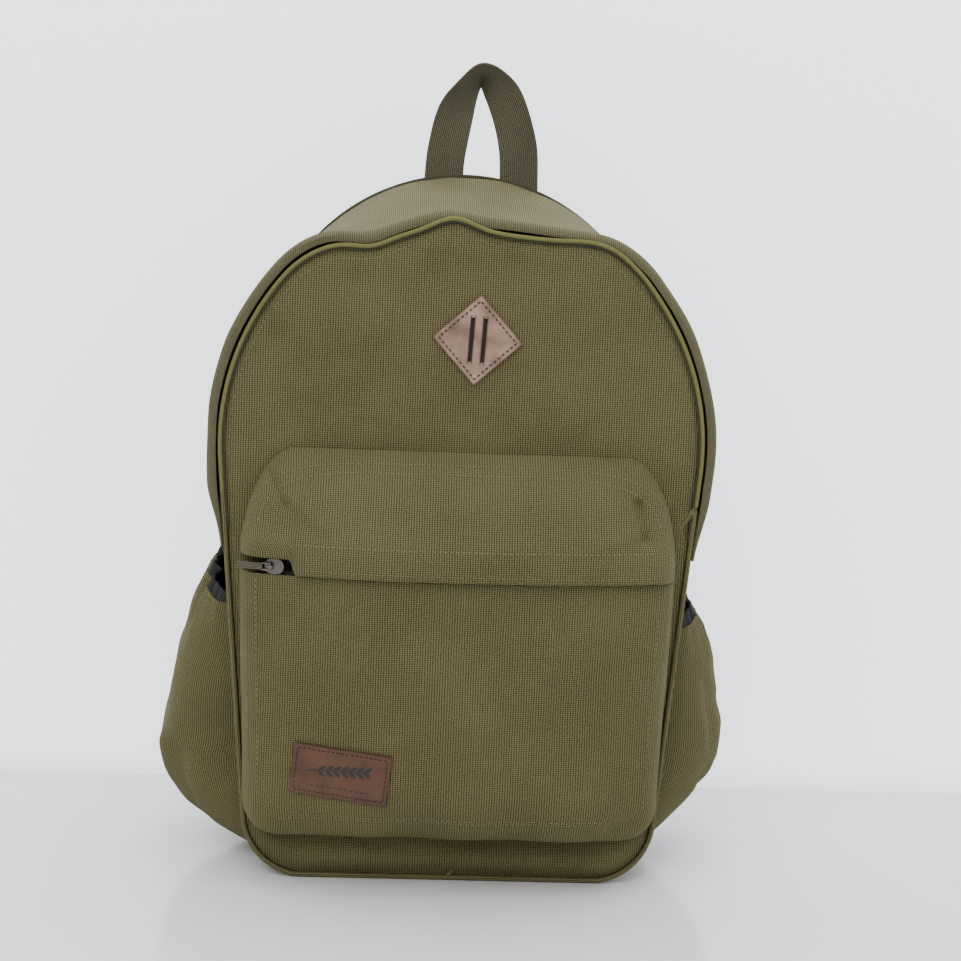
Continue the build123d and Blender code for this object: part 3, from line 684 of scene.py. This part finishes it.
def pocket_half(z):
    """Half-width of the pocket's outline at height z."""
    foot = 102 + 24 * np.sqrt(np.clip(1 - ((54 - np.minimum(z, 54)) / 25) ** 2, 0, 1))
    side = 126 + 3.5 * ease(54, 190, z)
    crown = 96 + 33.5 * np.sqrt(np.clip(1 - ((np.maximum(z, 200) - 200) / 66) ** 2, 0, 1))
    return np.where(z < 54, foot, np.where(z > 200, crown, side))


def pocket_share(z):
    """Depth of the pocket at height z, as a share of its full depth."""
    low = np.clip((z - 29.5) / 46, 0, 1)
    high = np.clip((z - 205) / 60.5, 0, 1)
    return np.clip(1 - (1 - low) ** 2.8, 0, 1) ** 0.5 * np.clip(1 - high**2.2, 0, 1) ** 0.62


def crease(x, z, start, end, width):
    """1 on the segment from start to end, fading out over width."""
    run = np.array(end, float) - start
    t = np.clip(((x - start[0]) * run[0] + (z - start[1]) * run[1]) / (run @ run), 0, 1)
    gap = np.hypot(x - start[0] - t * run[0], z - start[1] - t * run[1])
    return np.exp(-((gap / width) ** 2))


def pocket_out(x, z):
    """Folds and dents of the pocket's cloth."""
    p = xyz(x, 0, z)
    out = 1.3 * crumple(p, 120, 51, 2) + 0.3 * crumple(p, 26, 52, 2)
    out += 1.6 * hill(z, 95, 55) * hill(x, 0, 100)
    out += hill(z, 41, 13) * (2.0 * np.sin(x / 9.5 + 0.6) + 1.5 * np.sin(x / 23))
    for height, start, end, width in (
        (-4.2, (-113, 251), (-103, 234), 3.0), (2.6, (-103, 238), (-82, 223), 6.0),
        (-1.2, (-100, 232), (-80, 217), 3.5), (-4.0, (104, 240), (108, 220), 3.0),
        (2.4, (106, 226), (80, 217), 6.0), (-1.8, (-112, 52), (-98, 40), 4.0),
        (-1.8, (110, 50), (97, 41), 4.0),
    ):
        out += height * crease(x, z, start, end, width)
    return out


def pocket_y(x, z, extra=0.0):
    """The pocket's face over a point of its outline."""
    full, corner = pocket_face(x, np.clip((pocket_half(z) - np.abs(x)) / POCKET_ROLL, 0, 1))
    share = pocket_share(z)
    return POCKET_BACK - full * share * corner - (pocket_out(x, z) + extra) * corner * ease(0, 0.5, share)


def girth_columns(count):
    """Shares of the half-width, spaced evenly along the pocket's curved section."""
    dense = 1 - np.linspace(0, 1, 2500) ** 3
    x = dense * 128
    full, corner = pocket_face(x, np.clip((128 - x) / POCKET_ROLL, 0, 1))
    s = lengths(xyz(x, full * corner))
    half = np.interp(np.linspace(0, s[-1], count), s, dense)
    return np.concatenate([-half, half[::-1][1:]])


COLUMNS = girth_columns(96)
HOOD_BEND = ("bag", "hood", (0, -60, 230), (0, -84, 230))


def lip(z):
    """How far the hood's lower edge stands over the zip."""
    return 5.2 * ease(228, 204, z) - 0.9 * ease(197.5, 194.5, z)


def make_pocket():
    """Pouch and hood of the front pocket, cut from the same form."""
    z = np.concatenate([30 + 24 * np.linspace(0, 1, 22) ** 1.6, np.linspace(55, 193.2, 74)])[:, None]
    x = COLUMNS[None] * pocket_half(z)
    z = np.broadcast_to(z, x.shape)
    grid = xyz(x, pocket_y(x, z), z)
    inside = np.array([0, POCKET_BACK + 6, 120.0])
    cloth("pocket_pouch_cloth", grid, 1.7, CANVAS, core=inside, body="bag",
          cad=("pocket_pouch",), slot="panel_canvas")
    z = np.concatenate([np.linspace(194.4, 226, 24), np.linspace(228, 265.4, 34)])[:, None]
    x = COLUMNS[None] * pocket_half(z)
    z = np.broadcast_to(z, x.shape)
    notch = 9.4 * ease(-95, -99, x) * ease(222, 195, z)
    grid = xyz(x, pocket_y(x, z, lip(z)), z + notch)
    cloth("pocket_hood_cloth", grid, 1.5, CANVAS, core=np.array([0, POCKET_BACK + 6, 225]),
          bend=HOOD_BEND, cad=("pocket_hood",), slot="panel_canvas")


def on_pocket(points, lifted=False):
    """Points of the pocket's outline laid on its face, with their outward directions."""
    x, z = points[:, 0], points[:, 1]
    extra = lip(z) if lifted else 0.0
    place = xyz(x, pocket_y(x, z, extra), z)
    step = 0.4
    slope_x = (pocket_y(x + step, z, extra) - pocket_y(x - step, z, extra)) / (2 * step)
    slope_z = (pocket_y(x, z + step, extra) - pocket_y(x, z - step, extra)) / (2 * step)
    return place, unit(xyz(slope_x, -1, slope_z))


def make_pocket_seams():
    """Double rows of stitches round the pocket's edge, and the row over its zip."""
    pouch = Sewing("pouch_stitches", THREAD, body="bag")
    hood = Sewing("hood_stitches", THREAD, bend=HOOD_BEND)
    for inset in (5.0, 11.0):
        for side in (-1, 1):
            z = np.linspace(56, 191, 90)
            pouch.seam(*on_pocket(xyz(side * (pocket_half(z) - inset), z)))
        x = np.linspace(-1, 1, 120) * (108 - inset)
        dip = 47 + 0.28 * inset - 4 * np.abs(x / 108) ** 6
        pouch.seam(*on_pocket(xyz(x, dip)))
        a = np.linspace(0, pi, 160)
        wide = squared(a, 0.42)[0]
        tall = np.abs(np.sin(a)) ** 0.55
        x = -wide * (129.5 - inset)
        z = 206 + (57 - 0.8 * inset) * tall
        hood.seam(*on_pocket(xyz(x, z)))
    x = np.linspace(-111, 114, 140)
    hood.seam(*on_pocket(xyz(x, 212.5), lifted=True))
    x = np.linspace(-90, 112, 120)
    hood.seam(*on_pocket(xyz(x, 198), lifted=True), radius=0.26)
    pouch.make()
    hood.make()


def make_pocket_zip():
    """Tapes and coils under the hood."""
    for name, low, high, half, ties in (
        ("pouch", 188.3, 195.0, 119.0, {"body": "bag"}),
        ("hood", 201.0, 207.8, 100.5, {"bend": HOOD_BEND}),
    ):
        x, z = np.meshgrid(np.linspace(-half, half, 90), np.linspace(low, high, 5))
        y = POCKET_AXIS_Y - np.sqrt((POCKET_FACE_R - ZIP_INSET) ** 2 - x**2)
        grid = xyz(x, y, z)
        cloth(f"pocket_zip_cloth_{name}", grid, 0.8, TAPE, core=np.array([0, POCKET_AXIS_Y, 198]),
              cad=(f"pocket_zip_tape_{name}",), slot="zip_tape", **ties)
        level = 198 + (1.8 if name == "hood" else -1.8)
        a = np.arcsin(np.linspace(-half, half, int(2 * half / ZIP_PITCH)) / POCKET_FACE_R)
        place = xyz(np.sin(a) * 417, POCKET_AXIS_Y - np.cos(a) * 417, level)
        facing = xyz(np.sin(a), -np.cos(a), 0)
        row = Sewing(f"pocket_zip_coil_{name}", TEETH, cad=(f"pocket_zip_teeth_{name}",), slot="zip_teeth",
                     **ties)
        row.add(*beads(place, (0, 0, 1), facing, *COIL))
        row.make()


def make_pulls():
    """A wire bail on each slider's pin, with a short tape sewn round it."""
    joints = {j["name"]: j for j in frame["joints"]}
    for name in ("main_zip_up", "main_zip_down", "pocket_zip"):
        body = name.replace("main_zip_", "").replace("_zip", "") + "_pull"
        pin = np.array(joints[f"{body}_swing"]["pos_m"]) / MM
        low, high = (np.array(c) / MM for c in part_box(f"{name}_pull"))
        run = unit((low + high) / 2 - pin)
        side = np.array([0, 0, 1.0]) if name == "pocket_zip" else np.array([0, 1.0, 0])
        run = unit(run - side * (run @ side))
        a = np.linspace(0, 2 * pi, 41)
        square_c, square_s = squared(a, 0.5)
        ring = pin + run * (2.8 + 3.3 * square_c)[:, None] + side * (1.95 * square_s)[:, None]
        flat = np.cross(run, side)
        bar(f"{name}_bail", sweep(ring, flat, 0.5, 0.5, around=10, caps=False), METAL,
            body=body, cad=(f"{name}_pull",), slot="pull_cord")
        reach = np.linspace(4.6, 20.3, 22)
        inward = -flat * np.sign(flat @ (pin - MIDDLE)) if name != "pocket_zip" else flat * 0
        strip = pin + run * reach[:, None] + inward * (4.2 * ((reach - 4.6) / 15.7) ** 1.5)[:, None]
        bar(f"{name}_tab", sweep(strip, side, 2.1, 0.75, power=0.5), PULL, body=body,
            slot="pull_cord")


# ---------------------------------------------------------------- side pockets
def through(knots, t):
    """Smooth curve through (place, value) knots."""
    places = np.array([k[0] for k in knots], float)
    values = np.array([k[1] for k in knots], float)
    slopes = np.gradient(values, places)
    i = np.clip(np.searchsorted(places, t) - 1, 0, len(places) - 2)
    gap = places[i + 1] - places[i]
    s = np.clip((t - places[i]) / gap, 0, 1)
    return (
        (2 * s**3 - 3 * s**2 + 1) * values[i] + (s**3 - 2 * s**2 + s) * gap * slopes[i]
        + (3 * s**2 - 2 * s**3) * values[i + 1] + (s**3 - s**2) * gap * slopes[i + 1]
    )


REACH = {
    "left": ((3, 110), (20, 152), (42, 173), (64, 181), (95, 179), (125, 174), (158, 163), (176, 153),
             (193, 143)),
    "right": ((3, 108), (30, 146), (50, 163), (80, 173), (104, 172), (135, 167), (152, 159), (166, 149),
              (180, 141)),
}


MOUTH = {"left": (164, 24), "right": (156, 20)}


def edge_x(z):
    corner = 86.7 + np.sqrt(np.clip(1600 - (40 - np.minimum(z, 40)) ** 2, 0, 1600))
    return np.where(z < 36.8, corner, side_x(z))


def mouth_z(label, a):
    """The mouth's line dips towards the front."""
    front, rise = MOUTH[label]
    return front + rise * ease(-1.0, 0.2, a)


def side_pocket_point(label, side, a, z, extra=0.0):
    bulge = np.maximum(through(REACH[label], z) - edge_x(z), 1.0)
    gathered = ease(-52, 0, z - mouth_z(label, a))
    round_off = np.clip(1 - np.abs(a) ** 2.6, 0, 1) ** 0.62
    p = xyz(side * 150.0, a * 44, z)
    wave = 2.0 * crumple(p, 75, 61 + side, 2) + 0.4 * crumple(p, 22, 63 + side, 2)
    wave += gathered * (1.5 * np.sin(a * 19 + 0.7) + 0.8 * np.sin(a * 31))
    if label == "left":
        wave -= 4.5 * crease(a * 44, z, (-30, 66), (-24, 26), 4.5)
        wave += 3.0 * crease(a * 44, z, (-20, 70), (-14, 30), 6.0)
    else:
        wave -= 2.5 * crease(a * 44, z, (-30, 120), (-26, 78), 4.0)
        wave -= 2.5 * crease(a * 44, z, (-26, 60), (-10, 40), 4.5)
    out = (bulge + (wave + extra) * ease(0, 9, bulge)) * round_off
    y = 12 + 44 * a * (1 - 0.07 * gathered) + 1.5 * np.sin(z / 17) * (1 - a**2)
    return xyz(side * (edge_x(z) + 0.6 + out), y, z)


def make_side_pockets():
    """Gathered pockets whose mouths are held by black elastic."""
    for label, side in SIDES:
        a, t = np.meshgrid(np.sin(np.linspace(-1, 1, 96) * pi / 2), np.linspace(0, 1, 84))
        z = 4 + (mouth_z(label, a) - 4) * t
        grid = side_pocket_point(label, side, a, z)
        core = np.array([side * 126, 12.0, 90])
        bend = ("bag", f"side_pocket_{label}", (side * 132, 12, 100), (side * 152, 12, 100))
        cloth(f"side_pocket_{label}_cloth", grid, 1.6, CANVAS, core=core, bend=bend,
              cad=(f"side_pocket_{label}",), slot="panel_canvas")
        a, t = np.meshgrid(np.sin(np.linspace(-1, 1, 150) * pi / 2), np.linspace(0, 1, 9))
        z = mouth_z(label, a) - 2.5 + 9.5 * t
        ruffle = 0.7 * np.sin(a * 46) + 0.35 * np.sin(a * 77 + t * 2) - 1.4 + 0.7 * np.sin(pi * t)
        grid = side_pocket_point(label, side, a, np.minimum(z, mouth_z(label, a)), ruffle)
        grid[:, :, 2] = z + 0.4 * np.sin(a * 30)
        grid[:, :, 0] -= side * 3.0 * t
        cloth(f"side_elastic_{label}_band", grid, 1.3, ELASTIC, core=core, bend=bend,
              cad=(f"side_elastic_{label}",), slot="elastic")
        sewing = Sewing(f"side_pocket_{label}_stitches", THREAD, bend=bend)
        line = np.linspace(-0.93, 0.93, 90)
        place = side_pocket_point(label, side, line, mouth_z(label, line) - 5, 0.1)
        sewing.seam(place, place - core - np.array([0, 0, 60]))
        sewing.make()


# ---------------------------------------------------------------- handle and straps
def make_handle():
    """Webbing loop that leans to one side and folds at its peak."""
    t = np.linspace(0, 1, 110)
    knots_x = ((0, -15.2), (0.2, -12.8), (0.38, -5.0), (0.5, 7.0), (0.62, 19.5), (0.8, 31.5), (1, 34.2))
    knots_z = ((0, 419), (0.2, 449), (0.38, 478), (0.5, 495), (0.62, 485), (0.8, 454), (1, 419))
    path = xyz(through(knots_x, t), 59.6 - 1.5 * hill(t, 0.5, 0.2), through(knots_z, t))
    run = unit(np.gradient(path, axis=0))
    across = unit(xyz(run[:, 2], 0, -run[:, 0]))
    tilt = radians(64) * hill(t, 0.49, 0.15) + radians(14) * hill(t, 0.74, 0.1)
    side = across * np.cos(tilt)[:, None] + np.array([0, 1, 0]) * np.sin(tilt)[:, None]
    grid = sweep(path, side, 12.4, 0.95, power=0.35, around=28)
    bar("haul_loop", grid, WEBBING, bend=("bag", "handle", (8, 59.5, 430), (8, 59.5, 440)),
        cad=("haul_handle", "haul_handle_ends"), slot="webbing")


TOP_X, TOP_Z, BOTTOM_X, BOTTOM_Z, STRAP_Y, BOW = 42.0, 384.0, 100.0, 50.0, 66.5, 42.0


def strap_line(side, share):
    """Points of a strap's bow at the given shares of its length."""
    top = np.array([side * TOP_X, STRAP_Y, TOP_Z])
    run = np.array([side * (BOTTOM_X - TOP_X), 0, BOTTOM_Z - TOP_Z])
    span = np.linalg.norm(run)
    radius = (span**2 / 4 + BOW**2) / (2 * BOW)
    half = np.arcsin(span / 2 / radius)
    a = pi / 2 + half * (1 - 2 * np.asarray(share, float))
    along = span / 2 + radius * np.cos(a)
    rise = BOW - radius + radius * np.sin(a)
    return top + along[..., None] * run / span + rise[..., None] * np.array([0, 1.0, 0])


def strap_bar(name, side, shares, half_w, half_t, colour, power=0.4, around=24, lift=0.0, **ties):
    path = strap_line(side, shares)
    path[:, 1] += lift
    run = np.array([side * (BOTTOM_X - TOP_X), 0, BOTTOM_Z - TOP_Z])
    across = np.cross(run, BACKWARD)
    return bar(name, sweep(path, across, half_w, half_t, power=power, around=around), colour, **ties)


def make_straps():
    """Padded straps with bound edges, adjuster webbing and loose tails."""
    for label, side in SIDES:
        body = f"strap_{label}"
        point = {share: tuple(strap_line(side, share)) for share in (0.03, 0.1, 0.93, 0.985)}
        bend = ("bag", body, point[0.03], point[0.1])
        shares = np.concatenate([np.linspace(0.0, 0.02, 4), np.linspace(0.03, 0.645, 76),
                                 np.linspace(0.65, 0.66, 4)])
        half_t = 1.5 + 3.4 * ease(0.03, 0.14, shares) * (1 - ease(0.625, 0.66, shares) * 0.6)
        half_t = half_t * (1 - 0.5 * hill(shares, 0.66, 0.006)) + 0.2 * np.sin(shares * 160)
        half_w = 29.5 - 3.5 * ease(0.35, 0.66, shares) - 5 * hill(shares, 0.662, 0.01)
        strap = strap_bar(f"{body}_pad", side, shares, half_w, half_t, CANVAS, power=0.55, around=44, bend=bend,
                          cad=(f"shoulder_strap_{label}", f"strap_top_end_{label}"), slot="panel_canvas")
        across = unit(np.cross([side * (BOTTOM_X - TOP_X), 0, BOTTOM_Z - TOP_Z], [0, 1.0, 0]))
        edge = np.concatenate([strap_line(side, shares) + across * half_w[:, None],
                               (strap_line(side, shares) - across * half_w[:, None])[::-1]])
        edge = resample(np.concatenate([edge, edge[:1]]), 320)
        bar(f"{body}_binding", sweep(edge, BACKWARD, 2.0, 1.3, power=0.8, around=10,
                                     caps=False), BINDING, bend=bend, slot="webbing")
        sewing = Sewing(f"{body}_stitches", THREAD, bend=bend)
        for offset in (-8.0, 8.0):
            inner = shares[(shares > 0.12) & (shares < 0.6)]
            line = strap_line(side, inner) + across * offset
            line[:, 1] += half_t[(shares > 0.12) & (shares < 0.6)] * 0.98
            sewing.seam(line, BACKWARD)
        sewing.make()
        strap_bar(f"{body}_adjuster", side, np.linspace(0.652, 0.712, 10), 12.4, 1.0, WEBBING, body=body,
                  cad=(f"adjuster_tab_{label}",), slot="webbing")
        strap_bar(f"{body}_webbing", side, np.linspace(0.793, 0.998, 36), 12.4, 0.95, WEBBING,
                  bend=("bag", body, point[0.985], point[0.93]), cad=(f"strap_webbing_{label}",), slot="webbing")
        low, high = (np.array(c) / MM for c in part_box(f"webbing_tail_{label}"))
        drop = np.linspace(0, 1, 40)
        middle = (low + high) / 2
        path = np.stack([middle[0] + side * 1.5 * drop**2, middle[1] + 2.2 * np.sin(drop * 4.2) * drop,
                         high[2] - 0.5 - 90.5 * drop], -1)
        bar(f"tail_{label}_webbing", sweep(path, (1, 0, 0), 12.3,
                                           0.9 + 0.8 * ease(0.9, 0.93, drop), power=0.35, around=24),
            WEBBING, body=f"tail_{label}", cad=(f"webbing_tail_{label}",), slot="webbing")


def slab(corners, count, y, thick):
    """Flat cloth quadrilateral facing back, with softened edges."""
    s, t = np.meshgrid(np.linspace(0, 1, count), np.linspace(0, 1, count))
    c = np.array(corners, float)
    flat = ((1 - s) * (1 - t))[..., None] * c[0] + (s * (1 - t))[..., None] * c[1]
    flat = flat + (s * t)[..., None] * c[2] + ((1 - s) * t)[..., None] * c[3]
    edge = np.minimum(np.minimum(s, 1 - s), np.minimum(t, 1 - t))
    depth = y - thick * 0.35 * np.exp(-((edge / 0.05) ** 2))
    return xyz(flat[..., 0], depth, flat[..., 1])


def make_back_hardware():
    """Yoke over the straps' top ends and the tabs that hold the webbing's lower ends."""
    grid = slab(((-73, 376), (73, 376), (73, 399), (-73, 399)), 40, 65.0, 3.0)
    cloth("yoke", grid, 3.2, WEBBING, flat=True, body="bag", cad=("strap_yoke",), slot="webbing")
    sewing = Sewing("back_tacks", THREAD, body="bag")
    for side in (-1, 1):
        frame_line = [(18, 378), (66, 378), (66, 397), (18, 397), (18, 378), (66, 397), (18, 397), (66, 378)]
        line = resample([(side * x, 65.1, z) for x, z in frame_line], 260)
        sewing.seam(line, BACKWARD)
    for label, side in SIDES:
        corners = [(side * x, z) for x, z in ((86, 66), (100, 70), (127, 58), (118.5, 23))]
        grid = slab(corners, 22, 64.8, 2.6)
        cloth(f"corner_patch_{label}", grid, 2.8, BASE, flat=True, body="bag",
              cad=(f"corner_tab_{label}",), slot="base_canvas")
        loop = ((89, 65), (100, 67.5), (124, 57), (117, 28), (89, 65))
        line = resample([(side * x, 64.9, z) for x, z in loop], 120)
        sewing.seam(line, BACKWARD)
    sewing.make()


# ---------------------------------------------------------------- leather
def turned(cx, cz, degrees, u, v):
    """Points u along and v up from a centre, in axes turned on the bag's front."""
    turn = radians(degrees)
    return cx + u * cos(turn) - v * sin(turn), cz + u * sin(turn) + v * cos(turn)


def make_diamond():
    """Lash tab: a leather square on its corner with two slots."""
    cx, cz, half = 6.5, 332.3, 26.6
    v = np.concatenate([np.linspace(-half + 0.25, -13.5, 22), np.linspace(-13, 13, 44),
                        np.linspace(13.5, half - 0.25, 22)])
    slot_in, slot_out = 2.5, 4.9
    rows = []
    for height in v:
        wide = half - abs(height)
        shrink = min(1.0, wide / 9)
        inner, outer = slot_in * shrink, slot_out * shrink
        part = np.concatenate([np.linspace(-wide, -outer, 16), np.linspace(-outer, -inner, 3)[1:],
                               np.linspace(-inner, inner, 6)[1:], np.linspace(inner, outer, 3)[1:],
                               np.linspace(outer, wide, 16)[1:]])
        rows.append(xyz(part, height))
    flat = np.stack(rows)
    x, z = turned(cx, cz, -3, flat[..., 0], flat[..., 1])
    grid = xyz(x, FRONT_Y - front_out(x, z) - 1.9, z)
    keep = np.ones((flat.shape[0] - 1, flat.shape[1] - 1), bool)
    middle = (v[1:] + v[:-1]) / 2
    gap = np.abs(middle) < 13.2
    keep[np.ix_(gap, [15, 16, 22, 23])] = False
    close = np.minimum(np.abs(np.abs(flat[..., 0]) - slot_in), np.abs(np.abs(flat[..., 0]) - slot_out))
    mark = np.exp(-((close / 0.5) ** 2)) * (np.abs(flat[..., 1]) < 14.2) * 0.8
    rim = half - np.abs(flat[..., 0]) - np.abs(flat[..., 1])
    mark = np.maximum(mark, 0.7 * np.exp(-((rim / 0.8) ** 2)))
    cloth("diamond_leather", grid, 1.6, DIAMOND_HIDE, flat=True, keep=keep, marks=mark, body="lid",
          cad=("diamond_patch",), slot="diamond_leather")
    # A dark sheet under the diamond's slots: painted shade that makes the slots look deep.
    sx, sz = np.meshgrid(np.linspace(-6.5, 6.5, 8), np.linspace(-15, 15, 16))
    back = xyz(cx + sx, FRONT_Y - front_out(cx + sx, cz + sz) - 0.75, cz + sz)
    cloth("diamond_slot_shade", back, 0.5, DARK_THREAD_AND_SLOT_SHADE, flat=True, body="lid", slot="diamond_leather")
    sewing = Sewing("diamond_stitches", DARK_THREAD_AND_SLOT_SHADE, body="lid")
    ring = half - 3.6
    path = resample([(0, ring), (ring, 0), (0, -ring), (-ring, 0), (0, ring)], 220)
    x, z = turned(cx, cz, -3, *path.T)
    sewing.seam(xyz(x, FRONT_Y - front_out(x, z) - 1.95, z), FORWARD,
                stitch=2.1, gap=1.0, radius=0.4)
    sewing.make()


def sprig(u, v):
    """Leaf sprig and dashed rule, as a soft 0 to 1 stamp on the label."""
    art = crease(u, v, (-19, 0.5), (17, 4.5), 0.45)
    for place in np.linspace(-13, 14, 7):
        base_v = 0.5 + (place + 19) * 4.0 / 36
        for way in (-1, 1):
            tilt = radians(38) * way
            du, dv = u - place - 2.6 * cos(tilt), v - base_v - 2.6 * sin(tilt)
            a = du * cos(tilt) + dv * sin(tilt)
            b = -du * sin(tilt) + dv * cos(tilt)
            art = np.maximum(art, 1 - ease(0.75, 1.1, np.hypot(a / 2.9, b / 1.15)))
    rule = np.exp(-(((v + 8.2) / 0.42) ** 2)) * (np.abs(u) < 19) * (np.sin(u * 1.9) > -0.35)
    return np.maximum(art, rule)


def make_label():
    """Blank-name leather label with a plant stamp and a stitched edge."""
    cx, cz, wide, tall, tilt = -66.0, 77.0, 29.0, 15.2, -5.5
    u, v = np.meshgrid(np.linspace(-wide, wide, 150), np.linspace(-tall, tall, 80))
    x, z = turned(cx, cz, tilt, u, v)
    art = sprig(u, v + 0.6)
    rim = np.minimum(wide - np.abs(u), tall - np.abs(v))
    mark = np.maximum(art, 0.6 * np.exp(-((rim / 0.8) ** 2)))
    grid = xyz(x, pocket_y(x, z) - 1.7 + 0.3 * art, z)
    cloth("label_leather", grid, 1.4, LABEL_HIDE, flat=True, core=np.array([0, -60.0, 120]),
          marks=mark, body="bag", cad=("pocket_patch",), slot="patch_leather")
    sewing = Sewing("label_stitches", DARK_THREAD_AND_SLOT_SHADE, body="bag")
    ring = [(-1, -1), (1, -1), (1, 1), (-1, 1), (-1, -1)]
    path = resample([(p * (wide - 2.4), q * (tall - 2.4)) for p, q in ring], 260)
    x, z = turned(cx, cz, tilt, *path.T)
    sewing.seam(xyz(x, pocket_y(x, z) - 1.75, z), FORWARD, stitch=1.9, gap=0.9,
                radius=0.32)
    sewing.make()


def finish_hardware():
    """Metal and moulded parts keep their modelled shapes."""
    for name, node in frame["nodes"].items():
        if name.endswith("_slider"):
            finish = METAL
        elif name.startswith("ladder_lock"):
            finish = PLASTIC
        else:
            continue
        node.data.materials.clear()
        node.data.materials.append(finish)


# ---------------------------------------------------------------- room, light and camera
def make_room():
    """White table against a pale wall."""
    wall, tree, shader = material("wall_paint")
    put(shader, Base_Color=(0.9, 0.91, 0.93, 1), Emission_Color=(0.93, 0.96, 1, 1), Emission_Strength=1.3,
        Roughness=0.6)
    either = tree.nodes.new("ShaderNodeMixShader")
    tree.links.new(tree.nodes.new("ShaderNodeNewGeometry").outputs["Backfacing"], either.inputs[0])
    tree.links.new(shader.outputs[0], either.inputs[1])
    tree.links.new(tree.nodes.new("ShaderNodeBsdfTransparent").outputs[0], either.inputs[2])
    tree.links.new(either.outputs[0], tree.nodes["Material Output"].inputs["Surface"])
    table, _, shader = material("table_top")
    put(shader, Base_Color=(0.8, 0.8, 0.81, 1), Roughness=0.16)
    for name, points, paint in (
        ("floor", [(-3, -3, 0), (3, -3, 0), (3, 0.144, 0), (-3, 0.144, 0)], table),
        ("backdrop", [(-3, 0.154, -0.2), (3, 0.154, -0.2), (3, 0.154, 3), (-3, 0.154, 3)], wall),
    ):
        mesh = bpy.data.meshes.new(name)
        mesh.from_pydata(points, [], [[0, 1, 2, 3]])
        mesh.materials.append(paint)
        made = bpy.data.objects.new(name, mesh)
        bpy.context.scene.collection.objects.link(made)
    for name, place, size, power, tint in (
        ("key", (-0.7, -1.5, 1.7), 1.3, 29, (1.0, 0.99, 0.97)),
        ("overhead", (0.2, -0.3, 1.5), 1.0, 13, (0.97, 0.98, 1.0)),
        ("fill", (1.3, -1.4, 0.8), 1.4, 7, (0.95, 0.97, 1.0)),
    ):
        light = bpy.data.lights.new(name, "AREA")
        light.size, light.energy, light.color = size, power, tint
        lamp = bpy.data.objects.new(name, light)
        lamp.location = place
        aim = Vector((0, 0, 0.22)) - lamp.location
        lamp.rotation_euler = aim.to_track_quat("-Z", "Y").to_euler()
        bpy.context.scene.collection.objects.link(lamp)
    world = bpy.data.worlds.new("room_light")
    world.use_nodes = True
    put(world.node_tree.nodes["Background"], Color=(0.93, 0.96, 1.0, 1), Strength=0.52)
    bpy.context.scene.world = world


def make_camera():
    """Level with the bag's upper half, 1.1 m away, with a slight roll."""
    tilt, turn, roll = radians(8), radians(-2.5), radians(2.2)
    back = np.array([sin(turn) * cos(tilt), -cos(turn) * cos(tilt), sin(tilt)])
    level = np.array([cos(turn), sin(turn), 0])
    up = np.cross(level, -back)
    right = level * cos(roll) + up * sin(roll)
    over = -level * sin(roll) + up * cos(roll)
    lens = bpy.data.cameras.new("camera")
    lens.lens, lens.sensor_width, lens.clip_end = 68.4, 36.0, 20
    camera = bpy.data.objects.new("camera", lens)
    pose = Matrix(np.stack([right, over, back], 1).tolist()).to_4x4()
    pose.translation = (-0.0355, -1.1333, 0.4001)
    camera.matrix_world = pose
    bpy.context.scene.collection.objects.link(camera)
    bpy.context.scene.camera = camera


make_walls()
make_flap()
make_front()
make_main_zip()
make_inside()
make_back()
make_pocket()
make_pocket_seams()
make_pocket_zip()
make_pulls()
make_side_pockets()
make_handle()
make_straps()
make_back_hardware()
make_diamond()
make_label()
finish_hardware()
make_room()
make_camera()
